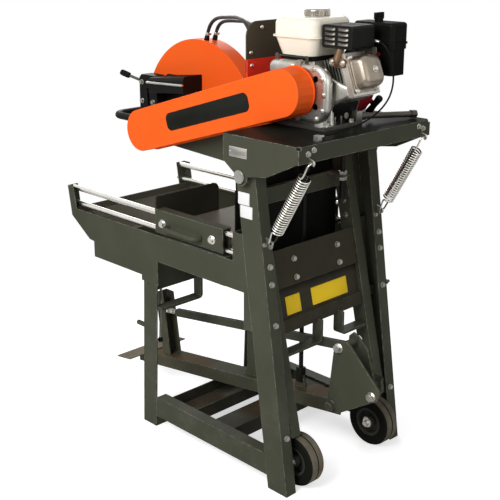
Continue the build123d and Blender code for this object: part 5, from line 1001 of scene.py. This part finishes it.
# %% Castings on the engine
SKIRT = [(0.064, 0.0585, -0.0635, 0.030), (0.076, 0.0600, -0.0645, 0.022), (0.100, 0.0605, -0.0640, 0.002),
         (0.124, 0.0600, -0.0630, -0.016), (0.136, 0.0585, -0.0615, -0.024)]
HOUSING = [(0.0, 0.010), (0.006, 0.002), (0.012, 0.0), (0.022, 0.0), (0.028, 0.003), (0.031, 0.008),
           (0.032, 0.014)]
HOUSING_FOOT, HOUSING_SIZES, FOOT_Z = (62, 234, 1150), (0.081, 0.098, 0.050), 1060
COLUMNS = [(72.0, 294.0, 0.013, 0.016), (36.0, 292.0, 0.008, 0.016)]
BOSSES = [(78.0, 99.0, 168.0, 1212.0, 0.023, 0.052, 0.020), (78.0, 97.0, 128.0, 1182.0, 0.018, 0.018, 0.016)]
RECESS_SHADE_WAY = np.array((0.0, 64.0, -21.5))


def boss(x0, x1, y, z, half_z, half_y, corner):
    """A rounded lump on the case's near face: it stands straight at first and closes in at the front."""
    deep = (x1 - x0) / 1000.0
    steps = [(0.0, 0.0), (0.55 * deep, 0.0), (0.85 * deep, 0.003), (0.97 * deep, 0.007), (deep, 0.011)]
    return drawn_in(in_frame((x0, y, z)), NEAR, half_z, half_y, corner, steps, 40)


skirt_rings = [(distance, rounded_block(half, (top - low) / 2, 0.012, 40) + (0.0, -(top + low) / 2))
               for distance, half, low, top in SKIRT]
cylinder_foot = on_cylinder(CYLINDER_X, 0.0, 0.0)
castings = [swelling(cylinder_foot, CYLINDER_WAY, skirt_rings, NEAR),
            drawn_in(in_frame(HOUSING_FOOT), NEAR, *HOUSING_SIZES, HOUSING, 64)]
for x, y, a, b in COLUMNS:
    tapered = [(0.0, a, b, 0.006), (0.030, 0.9 * a, 0.9 * b, 0.005), (0.078, 0.8 * a, 0.8 * b, 0.005)]
    castings.append(stacked(in_frame((x, y, FOOT_Z)), UP, tapered, hint=NEAR))
castings += [boss(*sizes) for sizes in BOSSES]
skinned("engine_castings", castings, CASTING, "head", crease=35.0)
# A black plate in the rear recess of the case: painted shade.
sump = plate(in_frame((-16, 303.2, 1095)), RECESS_SHADE_WAY, 0.028, 0.054, 0.010, 0.002)
skinned("sump_cover", [sump], BLACK, "head")

# %% [markdown]
# The valve cover is pressed from thin sheet, so its corners are wide and its face bulges. It stands in for
# the plain solid: a flat flange, and over it rings whose corners widen as they close in.

# %% Valve cover
FLANGE = [(0.154, 0.0500, 0.0520, 0.010), (0.1575, 0.0500, 0.0520, 0.010), (0.158, 0.0495, 0.0515, 0.010)]
DOME = [(0.157, 0.0450, 0.0470, 0.016), (0.160, 0.0430, 0.0450, 0.018), (0.180, 0.0420, 0.0440, 0.020),
        (0.189, 0.0400, 0.0420, 0.021), (0.195, 0.0360, 0.0380, 0.020), (0.1985, 0.0300, 0.0320, 0.018),
        (0.200, 0.0220, 0.0240, 0.014)]
cover_grids = [stacked(cylinder_foot, CYLINDER_WAY, rows, 64, NEAR) for rows in (FLANGE, DOME)]
valve_cover = skinned("valve_cover", cover_grids, COVER, "head", crease=30.0)
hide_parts("rocker_cover")

# %% [markdown]
# A burnt elbow joins the head's port to the silencer above it, a heat shield stands between the silencer and
# the filter box, and a black rubber band round the tank's foot is painted shade under the tank. The elbow is
# a ring carried along a cubic line, which bends as evenly as a drawn pipe; the rest are plates.

# %% Exhaust elbow, heat shield and tank shade band
ELBOW_R, ELBOW_PULL, ELBOW_LEAVES, ELBOW_ARRIVES = 0.0105, 0.060, (0.3, 0.0, -1.0), (-1.0, 0.0, -0.2)
elbow_top, elbow_end = in_frame((38, 332, 1281)), in_frame((46, 332, 1236))
elbow_line = eased(elbow_top, ELBOW_LEAVES, elbow_end, ELBOW_ARRIVES, ELBOW_PULL, 22)
port = plate(in_frame((46, 332, 1238)), NEAR, 0.013, 0.028, 0.011, 0.008)
skinned("exhaust_elbow", [carried(elbow_line, circle(ELBOW_R, 24), REAR), port], BURNT, "head")
heat_shield = plate(in_frame((-41, 346, 1267.5)), NEAR, 0.0105, 0.046, 0.004, 0.002)
skinned("heat_shield", [heat_shield], DARK_STEEL, "head")
# A black band round the tank's foot: painted shade under the tank.
TANK_SHADE_RINGS = [(0.0, 0.0720, 0.0670, 0.024), (0.0115, 0.0722, 0.0672, 0.024), (0.0125, 0.0700, 0.0650, 0.022)]
tank_shade_band = stacked(in_frame((-5, 188, 1235.5)), UP, TANK_SHADE_RINGS, 40, NEAR)
skinned("tank_foot_shade", [tank_shade_band], RUBBER, "head")

# %% [markdown]
# ## Grips
#
# The guard's clamp lever ends in a ribbed rubber sleeve. Its radius is a tapered barrel plus a small wave
# along its length, which gives the finger ribs.

# %% Clamp lever sleeve
GRIP_R, BULGE, RIB, RIBS = 0.0098, 0.0009, 0.0004, 7
END_POWER, END_LEAST, SLEEVE_START, SLEEVE_SPARE = 14, 0.05, -0.004, 0.006
elbow, tip = in_frame((-45, -715, 1092)), in_frame((-32, -744.4, 1103))
share = np.linspace(0.0, 1.0, 40)
barrel = GRIP_R + BULGE * np.sin(np.pi * share) + RIB * np.cos(2 * np.pi * RIBS * share)
ends = np.sqrt(np.clip(1.0 - np.abs(2 * share - 1) ** END_POWER, END_LEAST, 1.0))
rises = SLEEVE_START + (np.linalg.norm(tip - elbow) + SLEEVE_SPARE) * share
lever_sleeve = turned(elbow, tip - elbow, list(zip(rises, barrel * ends)))
skinned("clamp_lever_sleeve", [lever_sleeve], RUBBER, "clamp lever")

# %% [markdown]
# ## Blank plates
#
# The machine carries plain plates: a black one along the belt cover, a bright one on the deck's flange, two
# white ones on the near leg and two yellow ones on the sunk band of the rear panel. Each is a thin sheet
# with round corners and a softened edge, laid on the face that carries it.

# %% Plates
RAKE_UPRIGHT, UPRIGHT_LINE_Y, BAND_DEPTH, PLATE_T = 0.2243, 375.7, 16.0, 0.0012
ON_SIDE = (NEAR, UP)
ON_BELT = (NEAR, unit(np.array((0.0, 624.0, 190.0))))
ON_BAND = (unit(np.array((0.0, 1.0, RAKE_UPRIGHT))), UP)


def band_place(x, z):
    """A point on the rear panel's sunk band, whose plane leans forward with the uprights."""
    return x, UPRIGHT_LINE_Y - RAKE_UPRIGHT * z - BAND_DEPTH, z


# Each row: name, middle, the ways of face and height, half height, half width, corner, finish, body, slot.
PLATES = [
    ("belt_cover_plate", (165, -79, 1065), ON_BELT, 190, 28, 20, PLATE_BLACK, "head", "black_paint"),
    ("deck_plate", (285, 184, 1003.5), ON_SIDE, 14.5, 35, 3, ZINC, "head", "zinc"),
    ("leg_plate_upper", (265, 187, 869.5), ON_SIDE, 18, 22.5, 2, PLATE_WHITE, "frame", "cream_paint"),
    ("leg_plate_lower", (265, 197, 832), ON_SIDE, 18, 24, 2, PLATE_WHITE, "frame", "cream_paint"),
    ("panel_plate_small", band_place(114.5, 530), ON_BAND, 28, 31, 3, PLATE_YELLOW, "frame", None),
    ("panel_plate_large", band_place(-48, 531), ON_BAND, 27, 81, 3, PLATE_YELLOW, "frame", None),
]
for name, middle, (face, upward), *sizes, finish, body, slot in PLATES:
    half_a, half_b, corner = np.array(sizes) / 1000.0
    grid = plate(in_frame(middle), face, half_a, half_b, corner, PLATE_T, hint=upward)
    skinned(name, [grid], finish, body)

# %% [markdown]
# A black steel plate lies between the guard and its clamp, and the rubber curtain behind the tray reaches
# up under the deck in three strips. The middle one is low to leave the arm its room, and a flap on the arm
# covers the gap.

# %% Clamp plate and curtain strips
CURTAIN_Y, STRIP_LOW, RUBBER_T = 109.0, 846.0, 0.003
clamp_plate = plate(in_frame((-89, -468, 1050)), NEAR, 0.060, 0.092, 0.012, 0.003)
skinned("clamp_back_plate", [clamp_plate], BLACK, "head")
strips = []
for x0, x1, top in ((-222.0, 8.0, 912.0), (8.0, 112.0, 866.0), (112.0, 222.0, 912.0)):
    middle = in_frame(((x0 + x1) / 2, CURTAIN_Y, (STRIP_LOW + top) / 2))
    half_x, half_z = (x1 - x0) / 2000.0, (top - STRIP_LOW) / 2000.0
    strips.append(plate(middle, REAR, half_z, half_x, 0.003, RUBBER_T))
skinned("curtain_strips", strips, RUBBER, "frame")
arm_flap = plate(in_frame((60, 113.5, 883)), REAR, 0.021, 0.050, 0.003, RUBBER_T)
skinned("arm_flap", [arm_flap], RUBBER, "head")

# %% [markdown]
# On the far leg a bolt's end stands out beyond its nut. Its thread is too fine to see, so a chamfered pin
# and a six-cornered nut are enough. Domed rivets hold the deck's plate, and larger ones the splash shield
# and its flap.

# %% Stud and rivets
STUD = [(0.0, 0.0050), (0.0195, 0.0050), (0.0210, 0.0038)]
STUD_NUT = [(0.0, 0.0090), (0.0090, 0.0090), (0.0100, 0.0078)]
# A rivet's size is its radius and its rise.
SMALL_RIVET, LARGE_RIVET = (0.0022, 0.0014), (0.0065, 0.004)
stud_foot = in_frame((-263, 286, 514))
stud = [turned(stud_foot, -NEAR, STUD, 20), turned(stud_foot, -NEAR, STUD_NUT, 6)]
skinned("far_leg_stud", stud, DARK_STEEL, "frame")
heads = [rivet(in_frame((286, y, 1003.5)), NEAR, *SMALL_RIVET) for y in (153.0, 215.0)]
shield_rivets = [(77.0, 24.0, 1242.0, REAR), (32.0, 24.0, 1313.0, REAR)]
shield_rivets += [(x, 28.0, 1205.0, REAR) for x in (77.0, -8.0, -92.0, -176.0)]
shield_rivets += [(x, 20.0, 1205.0, -REAR) for x in (77.0, -92.0, -176.0)]
heads += [rivet(in_frame(at), way, *LARGE_RIVET) for *at, way in shield_rivets]
skinned("head_rivets", heads, ZINC, "head")
